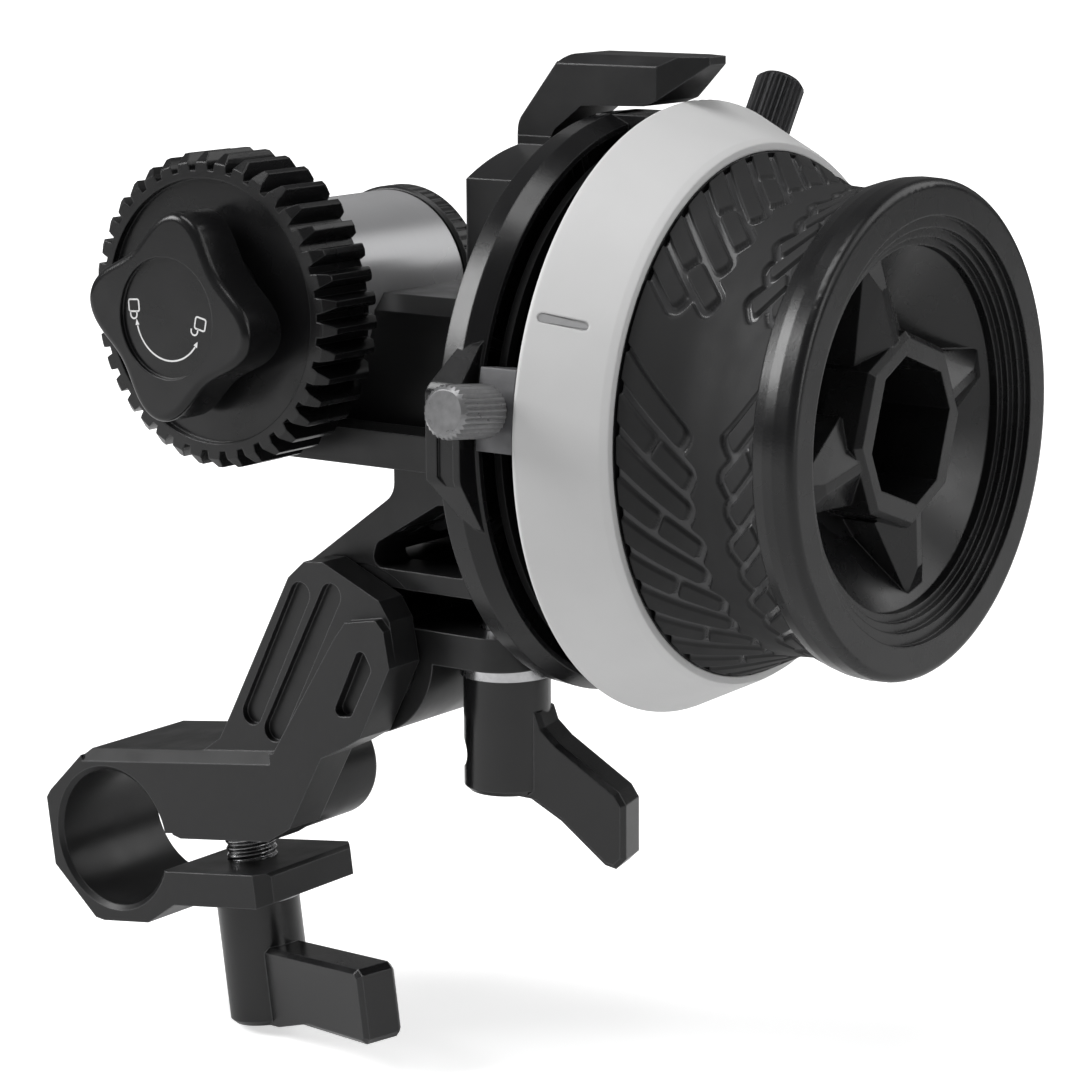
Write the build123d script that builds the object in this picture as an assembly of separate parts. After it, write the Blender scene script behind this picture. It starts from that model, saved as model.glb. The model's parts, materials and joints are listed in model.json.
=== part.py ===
from build123d import *
import math
import os

# Follow focus unit, millimetres. Origin on the rod axis at mid-depth of the rod clamp.
# X runs along the handwheel axis, Y along the rod, Z up.

# ---------------------------------------------------------------- clearances
RUN = 0.05            # radial running clearance of a shaft in its hole
SLIP = 0.1            # clearance of parts that slide over one another
GAP = 0.3             # ordinary air gap between neighbours
SMALL = 0.01

# ---------------------------------------------------------------- rod clamp and arm (arm frame)
ARM_TILT = 7.6        # the whole arm leans by this angle about the rod axis
ROD_R = 7.5           # 15 mm lens support rod
CLAMP_DEPTH = 16.0
JAW_TOP_Z = 9.7
JAW_LOW_Z = -7.1      # underside of the lower jaw
SLIT_LOW_Z = -3.45
SLIT_HIGH_Z = 0.25
LOWER_JAW_END_X = 21.0
PLATE_FRONT_Y = -6.8  # grooved face of the arm
PLATE_REAR_Y = -3.0
BARREL_X = 19.3       # round boss behind the jaw
BARREL_Z = 5.9
BARREL_R = 6.1
ARM_GROOVE_WIDTH = 2.6
ARM_GROOVE_DEPTH = 0.8
JAW_OUTLINE = [(-2.3, 9.7), (-8.3, 5.2), (-9.0, 4.4), (-9.0, -3.1), (-3.9, -8.9),
               (-2.7, -9.2), (3.8, -9.2), (7.9, -7.1)]
ARM_OUTLINE = [(22.4, 0.25), (25.6, 1.7), (31.1, 9.3), (34.3, 10.4), (36.6, 11.4),
               (41.5, 18.6), (41.3, 23.2), (40.2, 25.4), (33.4, 29.5), (31.0, 29.6),
               (28.6, 28.0), (18.2, 13.4), (16.4, 11.0), (13.8, 9.7)]
BOSS_OUTLINE = [(22.4, 0.25), (25.6, 1.7), (31.1, 9.3), (34.3, 10.4), (36.6, 11.4),
                (41.5, 18.6), (41.3, 22.4), (40.4, 23.6), (36.4, 23.4), (34.6, 21.6),
                (24.6, 9.7)]
GROOVE_LINES = [((29.9, 26.2), (21.4, 13.8)), ((34.0, 26.0), (24.1, 12.0))]
POCKET_OUTLINE = [(38.1, 21.2), (39.2, 18.5), (35.8, 13.7), (33.2, 13.7)]

# ---------------------------------------------------------------- clamp levers
STUD_R = 2.5
ROD_STUD_X = 12.8
WASHER_R = 4.8
WASHER_T = 0.8
PIVOT_WASHER_T = 1.3
HUB_R = 4.5
ROD_HUB_LENGTH = 13.3
PIVOT_HUB_LENGTH = 12.1
HEX_FLATS = 4.6       # drive hexagon between stud head and lever
HEX_DEPTH = 3.2
HUB_WEB = 1.8
CHAMBER_R = 3.1
LEVER_SCREW_R = 1.5
LEVER_SCREW_HEAD_R = 2.8
LEVER_SCREW_HEAD_T = 1.6
SPRING_LENGTH = 5.4
SPRING_WIRE_R = 0.3
SPRING_R = 2.3
SPRING_TURNS = 2.75
PADDLE_T = 4.7
ROD_PADDLE_AZ = -17.4
ROD_PADDLE = [(0.0, -4.8), (7.0, -4.8), (21.5, -4.9), (22.2, -5.6), (22.2, -12.3),
              (21.5, -12.9), (9.0, -12.5), (5.0, -13.3), (0.0, -13.3)]
PIVOT_PADDLE_AZ = 14.0
PIVOT_PADDLE = [(0.0, -3.4), (4.4, -3.4), (4.9, -4.9), (6.4, -6.4), (12.9, -11.0),
                (13.7, -12.3), (13.7, -18.0), (12.6, -19.1), (11.4, -18.8), (6.6, -14.6),
                (3.0, -12.4), (0.0, -12.1)]

# ---------------------------------------------------------------- pivot between arm and head
PIVOT_X = 30.9
PIVOT_Z = 24.1
PIVOT_R = 4.5
PIVOT_END_Y = 8.6
PIVOT_SPIGOT_R = 3.25
PIVOT_SPIGOT = 1.5
PIVOT_SCREW_R = 2.0
PIVOT_SCREW_HEAD_R = 3.8
PIVOT_RING_R = 9.0
BRACKET_FRONT_Y = -2.6
BRACKET_REAR_Y = 2.7
BRACKET_DEEP_Y = 9.8
RING_FRONT_Y = -2.4
PIVOT_SLIT_LOW_Z = 27.0
PIVOT_SLIT_HIGH_Z = 30.95
PIVOT_EAR_LOW_Z = 23.5
PIVOT_EAR_END_X = 49.8
PIVOT_STUD_X = 44.8
PIVOT_STUD_Y = 3.7
LEVER_SCREW_GAP = 4.0
PIVOT_BOSS_R = 4.4
PIVOT_BOSS_H = 5.6    # height of the stud boss above the slit
PIVOT_EAR_T = 1.45
WEB_X = 35.4          # upright edge of the web, under the rail
WEB_OUTLINE = [(22.5, 27.5), (22.5, 31.3), (35.4, 40.7)]
WEB_CORNER_R = 2.4
WEB_POCKET = [(32.2, 32.9), (33.0, 35.4), (40.9, 40.1), (49.9, 40.6), (49.9, 33.6), (43.3, 32.9)]
POCKET_CORNER_R = 1.1
RAIL_FRONT_Y = -3.2   # rail of the bracket along the lower front edge of the case
RAIL_LOW_Z = 43.4
RAIL_HIGH_Z = 47.1
BRACKET_SCREWS = [(38.4, 42.4), (48.4, 43.2), (35.0, 37.9)]
BRACKET_SCREW_R = 1.25
BRACKET_HEAD_R = 2.25

# ---------------------------------------------------------------- wheel and output axes
WHEEL_Y = 13.6
WHEEL_Z = 49.7
OUT_X = 20.2
OUT_Z = 59.4

# ---------------------------------------------------------------- gear case
CASE_X0 = 9.0
CASE_X1 = 51.2
CASE_Y0 = 1.4
CASE_Y1 = 23.8
CASE_Z0 = 43.1
CASE_Z1 = 60.3
CASE_EDGE = 1.6
CASE_CORNER = 1.0
CASE_SEAT_Z = 46.0    # top of the step that the bracket's plate sits in
DRUM_X = 41.5
DRUM_CORNER_R = 0.8
DRUM_R = 26.1
DRUM_REAR_Y = 25.8
DRUM_CUT_Z = 30.0
DRUM_WALL = 2.1
COVER_T = 2.0
CHAMBER_X0 = 22.6
CHAMBER_X1 = 37.5
CHAMBER_Z0 = 44.1
CHAMBER_Z1 = 55.4
CHAMBER_Y0 = 4.4
CASE_WEB = [(28.6, 33.7), (28.6, 35.9), (34.5, 40.2), (34.5, 43.2), (51.2, 43.2),
            (51.2, 40.9), (41.8, 40.5), (32.9, 35.3), (32.3, 33.7)]
CASE_WEB_REAR = 16.0
APRON = [(29.0, 24.6), (29.0, 35.0), (42.5, 42.0), (42.5, 24.6)]
APRON_T = 2.0
COVER_SCREWS = [(11.8, 49.4), (18.6, 45.2), (36.0, 58.0)]
COVER_SCREW_R = 1.25
COVER_HEAD_R = 2.1
PLATE_SCREWS = [(5.6, 68.6), (21.6, 68.6), (21.0, 34.2), (4.6, 57.5)]
PLATE_SCREW_R = 1.25
PLATE_HEAD_R = 2.2

# ---------------------------------------------------------------- output barrel
TUBE_R = 9.8
TUBE_Y0 = -4.5
TUBE_Y1 = 16.6
TUBE_BORE_R = 8.7
TUBE_BORE_Y = 3.4
SLEEVE_Y0 = 11.2
SLEEVE_NECK_R = 8.2
SLEEVE_END_Y = 20.0
RING_R = 10.2
RING_Y0 = 16.9
RING_Y1 = 19.7
SHAFT_R = 3.0
BALL_6_R = 6.0        # outer radius of the 6 x 12 x 4 bearings
BALL_6_T = 4.0
BARREL_BORE_R = 5.0
BALL_6_REAR_Y = 15.2
BARREL_SCREW_Y = 13.6
BARREL_SCREW_R = 1.5
BARREL_SCREW_HEAD_R = 2.75
RING_TEETH = 60

# ---------------------------------------------------------------- gears
DRIVE_MODULE = 0.8
DRIVE_TEETH = 38
GEAR_Y0 = -13.2
GEAR_Y1 = -5.0
GEAR_PHASE = 6.2
GEAR_EDGE = 1.0
SPUR_MODULE = 0.6
LAY_TEETH = 16
SPUR_TEETH = 26
SPUR_Y0 = 4.6
SPUR_Y1 = 7.4
BEVEL_MODULE = 0.6
BEVEL_TEETH = 16
BEVEL_INNER = 0.7     # inner end of the bevel teeth as a share of the cone distance
BEVEL_SLACK = 0.16
BEVEL_PHASE_LAY = 0.0
BEVEL_PHASE_WHEEL = 180 / BEVEL_TEETH
LAY_R = 2.0
LAY_Y0 = 2.6
LAY_Y1 = 23.2
KNOB_Y0 = -19.5
KNOB_T = 5.2
KNOB_MEAN_R = 9.28
KNOB_LOBE = 1.37
KNOB_TURN = -9.0
KNOB_DISC_R = 6.1

# ---------------------------------------------------------------- wheel shaft and bearings
WSHAFT_R = 4.0
WSHAFT_MID_R = 5.2
BALL_8_R = 8.0        # outer radius of the 8 x 16 x 4 bearings
BALL_8_T = 4.0
BALL_A_X = 38.6
BALL_B_X = 51.5
SHAFT_END_X = 71.5
SHAFT_FLAT = 3.4      # half the width over the flats that drive the handwheel
BOSS_R = 10.5

# ---------------------------------------------------------------- back plate
BACK_X0 = 51.2
BACK_X1 = 55.5
BACK_R = 29.5
BACK_FLOOR = 1.6
BACK_RIM_T = 1.5
RIB_ANGLES = [20, 70, 110, 160, 200, 250, 290, 340]
BACK_CREASE = 2.3     # width of the cylindrical band behind the crease of the rim
BACK_EDGE = 0.9
PANEL_REACH = 1.7     # how far the label panel stands out past the rim
PANEL_LOW_Z = 46.0
PANEL_HIGH_Z = 55.0
PANEL_SLANT_Y = 3.4
PANEL_SLANT_LOW = 5.0
PANEL_SLANT_HIGH = 3.8
PANEL_CORNER_R = 1.6
POST_X1 = 59.8
POST_Y0 = 10.1
POST_Y1 = 17.1
POST_T = 1.7

# ---------------------------------------------------------------- pointer
POINTER_HALF = 3.8
POINTER_X0 = 42.1
POINTER_FOOT = 4.2
POINTER_TIP_X = 63.8
POINTER_EDGE = 1.0
POINTER_NOSE_R = 0.9
POINTER_LIFT = 0.7    # seat above the drum
POINTER_BACK_GAP = 0.5
POINTER_DISC_GAP = 1.0
POINTER_TIP_T = 3.1
POINTER_SCREW_YS = [11.4, 15.8]
POINTER_SCREW_X = 44.5
POINTER_SCREW_R = 1.0

# ---------------------------------------------------------------- travel stops
STOP_RING_R0 = 20.4
STOP_RING_INSET = 2.5  # how far the stop ring lies inside the edge of the back plate
STOP_RING_X0 = 55.9
STOP_RING_X1 = 60.6
STOP_X = 58.1
STOP_W = 4.2
STOP_HEIGHT = 2.6     # stop block above its ring
STOP_TANGENT = 8.0
STOP_A_DEG = 173.5
STOP_B_DEG = 56.5
SLOT_NECK = 2.2
SLOT_WIDE = 3.2
SLOT_LIP = 1.1        # lips of the tee slot, measured from the outside of the ring
SLOT_DEPTH = 1.6
BOLT_HEAD_LENGTH = 6.0
THUMB_NECK_R = 1.4
THUMB_NECK = 1.3
THUMB_R = 2.6
THUMB_HEAD = 6.7
THUMB_TEETH = 28
THUMB_CAP = 2.4       # solid top of the thumb nut
THUMB_THREAD_R = 1.0
RING_SCREW_INSET = 2.0
RING_SCREWS = 3

# ---------------------------------------------------------------- handwheel
SEAT_R = 26.0
SEAT_X1 = 69.3
GROOVE_X0 = 65.0      # rubber seat ring that holds the marking disc
GROOVE_X1 = 66.3
GROOVE_DEPTH = 0.8
CORE_R = 21.4
GRIP_X0 = 69.6
GRIP_X1 = 83.4
GRIP_PROFILE = [(74.7, 23.55), (76.0, 23.2), (78.3, 23.05), (80.0, 22.95), (81.3, 23.3)]
GRIP_END_R = 24.0
FLANGE_R = 24.4
FACE_X = 87.9
FACE_ROUND = 0.9
STEP_RS = [20.8, 19.6, 18.7]   # stepped ring between the flange and the dish
STEP_DROP = 0.7
DISH_FLOOR_X = 79.8
DISH_FLOOR_R = 8.0
RIM_WEB_R = 19.4
HUB_FACE_X = 86.2
HUB_FLATS = 9.0
DISH_R = 17.85
SOCKET = 13.2
SOCKET_CORNER = 3.0
SOCKET_TURN = -19.5
SOCKET_FLOOR_X = 76.2
WHEEL_HUB_R = 6.5
DISC_X0 = 60.9
DISC_RIM = 5.0        # radial width of the marking disc outside its seat
DISC_FIT = 0.1
INDEX_DEG = 156.0
SPIKE_ANGLES = [105.0, 15.0, -75.0, -165.0]

# ---------------------------------------------------------------- derived places
TILT = Rot(0, -ARM_TILT, 0)
HALF_DEPTH = CLAMP_DEPTH / 2
GEAR_TIP_R = DRIVE_MODULE * (DRIVE_TEETH + 2) / 2
CENTRES = SPUR_MODULE * (LAY_TEETH + SPUR_TEETH) / 2
LAY_X = OUT_X + math.sqrt(CENTRES ** 2 - (OUT_Z - WHEEL_Z) ** 2)
CONE_R = BEVEL_MODULE * BEVEL_TEETH / 2
MESH_DEG = math.degrees(math.atan2(OUT_Z - WHEEL_Z, OUT_X - LAY_X))
BALL_C_Y = LAY_Y1 - 3.0
BACK_RIM_R = BACK_R - BACK_RIM_T
PANEL_Y = WHEEL_Y - BACK_R - PANEL_REACH
STOP_RING_R1 = BACK_R - STOP_RING_INSET
STOP_R = STOP_RING_R1 + STOP_HEIGHT
SLOT_R1 = STOP_RING_R1 - SLOT_LIP
SLOT_R0 = SLOT_R1 - SLOT_DEPTH
THUMB_NECK_TOP = STOP_R + THUMB_NECK
THUMB_TOP = THUMB_NECK_TOP + THUMB_HEAD
RING_SCREW_R = STOP_RING_R0 + RING_SCREW_INSET
CORE_BORE_R = STOP_RING_R0
DISC_BORE_R = SEAT_R + DISC_FIT
DISC_R = SEAT_R + DISC_RIM
POST_Z1 = WHEEL_Z + BACK_R - 0.2
POST_Z0 = POST_Z1 - POST_T
POINTER_SEAT_Z = WHEEL_Z + DRUM_R + POINTER_LIFT
POINTER_BAR_Z = WHEEL_Z + BACK_R + POINTER_BACK_GAP
POINTER_TIP_Z = WHEEL_Z + DISC_R + POINTER_DISC_GAP
POINTER_TOP_Z = POINTER_TIP_Z + POINTER_TIP_T
ROD_LEVER_AT = TILT * Pos(ROD_STUD_X, 0, JAW_LOW_Z - WASHER_T)
PIVOT_LEVER_AT = Pos(PIVOT_STUD_X, PIVOT_STUD_Y, PIVOT_EAR_LOW_Z - PIVOT_WASHER_T)
ROD_STUD_LENGTH = JAW_TOP_Z - 1.6 - JAW_LOW_Z + WASHER_T
PIVOT_STUD_LENGTH = PIVOT_SLIT_HIGH_Z + PIVOT_BOSS_H - PIVOT_EAR_LOW_Z


# ---------------------------------------------------------------- basic shapes
def block(x0, x1, y0, y1, z0, z1):
    return Pos((x0 + x1) / 2, (y0 + y1) / 2, (z0 + z1) / 2) * Box(x1 - x0, y1 - y0, z1 - z0)


def slab_y(face, y0, y1):
    return extrude(Plane.XZ.offset(-y1) * face, amount=y1 - y0)


def slab_x(face, x0, x1):
    return extrude(Plane.YZ.offset(x0) * face, amount=x1 - x0)


def slab_z(face, z0, z1):
    return extrude(Plane.XY.offset(z0) * face, amount=z1 - z0)


def outline(points):
    return make_face(Polyline(*points, close=True))


def rod_y(x, z, r, y0, y1):
    return slab_y(Pos(x, z) * Circle(r), y0, y1)


def rod_x(y, z, r, x0, x1):
    return slab_x(Pos(y, z) * Circle(r), x0, x1)


def rod_z(x, y, r, z0, z1):
    return slab_z(Pos(x, y) * Circle(r), z0, z1)


def wheel_rod(r, x0, x1):
    return rod_x(WHEEL_Y, WHEEL_Z, r, x0, x1)


def out_rod(r, y0, y1):
    return rod_y(OUT_X, OUT_Z, r, y0, y1)


def lay_rod(r, y0, y1):
    return rod_y(LAY_X, WHEEL_Z, r, y0, y1)


def wheel_turned(points, rounded=()):
    # points are (x, radius); rounded lists the corners to round off as (x, radius, rounding)
    profile = outline([(x, WHEEL_Y + r) for x, r in points])
    for x, r, rounding in rounded:
        corner = profile.vertices().sort_by_distance(Vector(x, WHEEL_Y + r))[0]
        profile = fillet(corner, rounding)
    return revolve(Pos(0, 0, WHEEL_Z) * profile, Axis((0, WHEEL_Y, WHEEL_Z), (1, 0, 0)), 360)


def out_turned(points):
    # points are (radius, y)
    profile = outline([(OUT_X + r, y) for r, y in points])
    return revolve(Pos(0, 0, OUT_Z) * profile, Axis((OUT_X, 0, OUT_Z), (0, 1, 0)), 360)


def around_wheel(shape, degrees):
    # degrees count from +Y toward +Z; the shape is drawn on the +Y side
    centre = Pos(0, WHEEL_Y, WHEEL_Z)
    return centre * Rot(degrees, 0, 0) * centre.inverse() * shape


def stadium(p, q, width):
    length = math.dist(p, q)
    angle = math.degrees(math.atan2(q[1] - p[1], q[0] - p[0]))
    middle = ((p[0] + q[0]) / 2, (p[1] + q[1]) / 2)
    return Pos(*middle) * Rot(0, 0, angle) * SlotCenterToCenter(length, width)


def ball_bearing_x(x0, bore_r, outer_r, width):
    # two races and their cage joined into one bought piece
    race = wheel_rod(outer_r, x0, x0 + width) - wheel_rod(bore_r, x0, x0 + width)
    track = wheel_rod((bore_r + outer_r) / 2 + 1.0, x0, x0 + 0.4)
    track -= wheel_rod((bore_r + outer_r) / 2 - 1.0, x0, x0 + 0.4)
    return race - track


def ball_bearing_y(rod, y0, bore_r, outer_r, width):
    race = rod(outer_r, y0, y0 + width) - rod(bore_r, y0, y0 + width)
    groove = (outer_r - bore_r) / 5
    track = rod((bore_r + outer_r) / 2 + groove, y0, y0 + 0.3)
    track -= rod((bore_r + outer_r) / 2 - groove, y0, y0 + 0.3)
    return race - track


# ---------------------------------------------------------------- gear outlines
def involute_half_angle(pitch_r, r, teeth, slack):
    # half the angle a tooth fills at radius r, with a pressure angle of 20 degrees
    base = pitch_r * math.cos(math.radians(20))
    def involute(radius):
        a = math.acos(min(1.0, base / radius))
        return math.tan(a) - a
    half = math.pi / (2 * teeth) - slack / (2 * pitch_r)
    return half + involute(pitch_r) - involute(max(r, base))


def gear_face(module, teeth, slack, phase_deg, steps=4):
    pitch_r = module * teeth / 2
    tip_r = pitch_r + module
    root_r = pitch_r - 1.25 * module
    base_r = pitch_r * math.cos(math.radians(20))
    first_r = max(root_r, base_r)
    points = []
    for tooth in range(teeth):
        middle = math.radians(phase_deg) + tooth * 2 * math.pi / teeth
        flank = []
        if root_r < base_r:
            flank.append((root_r, involute_half_angle(pitch_r, base_r, teeth, slack)))
        for i in range(steps + 1):
            r = first_r + (tip_r - first_r) * i / steps
            flank.append((r, involute_half_angle(pitch_r, r, teeth, slack)))
        for r, half in flank:
            points.append((r * math.cos(middle - half), r * math.sin(middle - half)))
        for r, half in reversed(flank):
            points.append((r * math.cos(middle + half), r * math.sin(middle + half)))
    return outline(points)


def bevel_along_x(hub_r, hub_length, bore_r, phase_deg, slack):
    # teeth face -X; apex at the origin, pitch cone at 45 degrees
    tip = CONE_R + BEVEL_MODULE * 0.7
    root = CONE_R - BEVEL_MODULE * 0.85
    half_tip = 0.28 * math.pi / BEVEL_TEETH - slack / (2 * CONE_R)
    half_pitch = 0.5 * math.pi / BEVEL_TEETH - slack / (2 * CONE_R)
    half_root = 0.74 * math.pi / BEVEL_TEETH - slack / (2 * CONE_R)
    rim = root + 0.02
    back_x = CONE_R + BEVEL_MODULE * 0.6
    tip_x = CONE_R - BEVEL_MODULE * 0.7
    root_x = CONE_R + BEVEL_MODULE * 0.6
    profile = outline([(root_x * BEVEL_INNER, 0), (root_x * BEVEL_INNER, rim * BEVEL_INNER),
                       (root_x, rim), (back_x + 0.6, rim), (back_x + 0.6, hub_r),
                       (hub_length, hub_r), (hub_length, 0)])
    body = revolve(profile, Axis.X, 360)
    for tooth in range(BEVEL_TEETH):
        middle = math.radians(phase_deg) + tooth * 2 * math.pi / BEVEL_TEETH
        outer = []
        for x, r, turn in ((root_x, root, -half_root), (CONE_R, CONE_R, -half_pitch),
                           (tip_x, tip, -half_tip), (tip_x, tip, half_tip),
                           (CONE_R, CONE_R, half_pitch), (root_x, root, half_root)):
            outer.append((x, r * math.cos(middle + turn), r * math.sin(middle + turn)))
        body += bevel_tooth(outer)
    return body - extrude(Plane.YZ * Circle(bore_r), amount=hub_length)


def bevel_tooth(outer):
    inner = [tuple(BEVEL_INNER * c for c in p) for p in outer]
    return ConvexPolyhedron(outer + inner)


# ---------------------------------------------------------------- arm side
def rod_arm():
    right = [(LOWER_JAW_END_X - 1.4, JAW_LOW_Z), (LOWER_JAW_END_X, JAW_LOW_Z + 0.4),
             (LOWER_JAW_END_X, SLIT_LOW_Z - 0.4), (LOWER_JAW_END_X - 0.4, SLIT_LOW_Z),
             (8.6, SLIT_LOW_Z), (8.6, 0.8), (10.1, SLIT_HIGH_Z), (16.0, SLIT_HIGH_Z),
             (16.0, JAW_TOP_Z)]
    body = slab_y(outline(JAW_OUTLINE + right), -HALF_DEPTH, HALF_DEPTH)
    corner = block(LOWER_JAW_END_X - 1.4, LOWER_JAW_END_X + 1, -HALF_DEPTH - 1, HALF_DEPTH + 1,
                   JAW_LOW_Z - 1, SLIT_LOW_Z + 1)
    keep = Pos(LOWER_JAW_END_X - 5, 0, 0) * extrude(
        Plane.XY.offset(JAW_LOW_Z - 2) * chamfer(Rectangle(10, CLAMP_DEPTH).vertices(), 1.4), amount=8)
    body -= corner - keep
    foot = [(10.1, SLIT_HIGH_Z)] + ARM_OUTLINE + [(10.1, JAW_TOP_Z)]
    body += slab_y(outline(foot), PLATE_FRONT_Y, PLATE_REAR_Y)
    boss = [(10.1, SLIT_HIGH_Z)] + BOSS_OUTLINE + [(10.1, JAW_TOP_Z)]
    raised = slab_y(outline(boss), -HALF_DEPTH, PLATE_FRONT_Y + SMALL)
    body += raised
    top_cut = outline([(-HALF_DEPTH - 1, JAW_TOP_Z + 1), (-HALF_DEPTH + 1.2, JAW_TOP_Z + 1),
                       (-HALF_DEPTH + 1.2, JAW_TOP_Z), (-HALF_DEPTH, JAW_TOP_Z - 1.2),
                       (-HALF_DEPTH - 1, JAW_TOP_Z - 1.2)])
    body -= slab_x(top_cut, -3.0, 24.0)
    barrel = rod_y(BARREL_X, BARREL_Z, BARREL_R, PLATE_REAR_Y - SMALL, HALF_DEPTH)
    body += fillet(barrel.edges().group_by(Axis.Y)[-1], 0.8)
    bore = rod_y(0, 0, ROD_R, -HALF_DEPTH - 1, HALF_DEPTH + 1)
    for side in (-1, 1):
        cone = Cone(ROD_R, ROD_R + 0.5, 0.5)
        bore += Pos(0, side * (HALF_DEPTH - 0.25), 0) * Rot(-90 * side, 0, 0) * cone
    body -= bore
    body -= block(0, 9.0, -HALF_DEPTH - 1, HALF_DEPTH + 1, SLIT_LOW_Z, 0.8)
    for p, q in GROOVE_LINES:
        body -= slab_y(stadium(p, q, ARM_GROOVE_WIDTH), PLATE_FRONT_Y - 2, PLATE_FRONT_Y + ARM_GROOVE_DEPTH)
    pocket = fillet(outline(POCKET_OUTLINE).vertices(), 0.7)
    body -= slab_y(pocket, -HALF_DEPTH - 1, PLATE_FRONT_Y)
    body -= rod_z(ROD_STUD_X, 0, STUD_R + 0.25, JAW_LOW_Z - 1, SLIT_LOW_Z + 1)
    body -= rod_z(ROD_STUD_X, 0, STUD_R + RUN, SLIT_HIGH_Z - 1, JAW_TOP_Z - 1.2)
    body = TILT * body
    spigot = rod_y(PIVOT_X, PIVOT_Z, PIVOT_SPIGOT_R, PLATE_REAR_Y - PIVOT_SPIGOT, PLATE_REAR_Y + 1)
    return body - spigot - rod_y(PIVOT_X, PIVOT_Z, PIVOT_SCREW_R, PLATE_FRONT_Y + 0.6, PLATE_REAR_Y)


def pivot_shaft():
    pin = rod_y(PIVOT_X, PIVOT_Z, PIVOT_R, PLATE_REAR_Y, PIVOT_END_Y)
    pin = chamfer(pin.edges().group_by(Axis.Y)[-1], 0.3)
    pin += rod_y(PIVOT_X, PIVOT_Z, PIVOT_SPIGOT_R, PLATE_REAR_Y - PIVOT_SPIGOT, PLATE_REAR_Y)
    pin -= rod_y(PIVOT_X, PIVOT_Z, PIVOT_SCREW_R + 0.2, PLATE_REAR_Y - 2, PIVOT_END_Y + 1)
    return pin - pivot_screw_head(0.05)


def pivot_screw_head(extra):
    drop = PIVOT_SCREW_HEAD_R - PIVOT_SCREW_R
    head = Cone(PIVOT_SCREW_R + extra, PIVOT_SCREW_HEAD_R + extra, drop)
    return Pos(PIVOT_X, PIVOT_END_Y - drop / 2, PIVOT_Z) * Rot(-90, 0, 0) * head


def pivot_shaft_screw():
    screw = rod_y(PIVOT_X, PIVOT_Z, PIVOT_SCREW_R, PLATE_FRONT_Y + 0.8, PIVOT_END_Y - 1)
    screw += pivot_screw_head(0)
    hexagon = Pos(PIVOT_X, PIVOT_Z) * RegularPolygon(1.4, 6)
    return screw - slab_y(hexagon, PIVOT_END_Y - 1.5, PIVOT_END_Y + 1)


# levers are drawn with the stud axis on Z and the top of the hub at z = 0
def hexagon_prism(flats, z0, z1):
    return slab_z(RegularPolygon(flats / 2, 6, major_radius=False), z0, z1)


def lever_stud(shank_length, tip_gap):
    stud = hexagon_prism(HEX_FLATS, -HEX_DEPTH + 0.1, 0.1)
    stud += rod_z(0, 0, STUD_R, 0.1, shank_length)
    stud = chamfer(stud.edges().group_by(Axis.Z)[-1], 0.4)
    return stud - rod_z(0, 0, LEVER_SCREW_R, -HEX_DEPTH - 1, tip_gap)


def lever_screw(tip_gap):
    head_top = -HEX_DEPTH - HUB_WEB - SPRING_LENGTH
    screw = rod_z(0, 0, LEVER_SCREW_R, head_top, tip_gap - 0.3)
    screw += rod_z(0, 0, LEVER_SCREW_HEAD_R, head_top - LEVER_SCREW_HEAD_T, head_top)
    return screw - hexagon_prism(2.0, head_top - LEVER_SCREW_HEAD_T - 1, head_top - 0.6)


def lever_spring():
    foot = -HEX_DEPTH - HUB_WEB - SPRING_LENGTH + SPRING_WIRE_R
    rise = SPRING_LENGTH - 2 * SPRING_WIRE_R
    path = Helix(pitch=rise / SPRING_TURNS, height=rise, radius=SPRING_R)
    section = Plane(origin=path @ 0, z_dir=path % 0) * Circle(SPRING_WIRE_R)
    return Pos(0, 0, foot) * sweep(section, path, is_frenet=True)


def lever_handle(paddle, azimuth, length):
    hub = rod_z(0, 0, HUB_R, -length, 0)
    hub = chamfer(hub.edges().group_by(Axis.Z)[0], 0.5)
    arm = slab_y(outline(paddle), -PADDLE_T / 2, PADDLE_T / 2)
    rim = arm.edges().filter_by(Axis.Y, reverse=True).filter_by(lambda e: e.center().X > paddle[1][0])
    arm = chamfer(rim, 0.5)
    body = hub + arm
    body -= Pos(-HUB_R - 0.5, 0, -0.68 * length) * Rot(90, 0, 0) * Cylinder(1.8, 20)
    body = Rot(0, 0, azimuth) * body
    body -= hexagon_prism(HEX_FLATS + 2 * SLIP, -HEX_DEPTH, 1)
    body -= rod_z(0, 0, LEVER_SCREW_R + 0.2, -length, 1)
    return body - rod_z(0, 0, CHAMBER_R, -length - 1, -HEX_DEPTH - HUB_WEB)


def washer(z1, thickness):
    return rod_z(0, 0, WASHER_R, z1 - thickness, z1) - rod_z(0, 0, STUD_R + 0.25, z1 - 3, z1 + 1)


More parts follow.
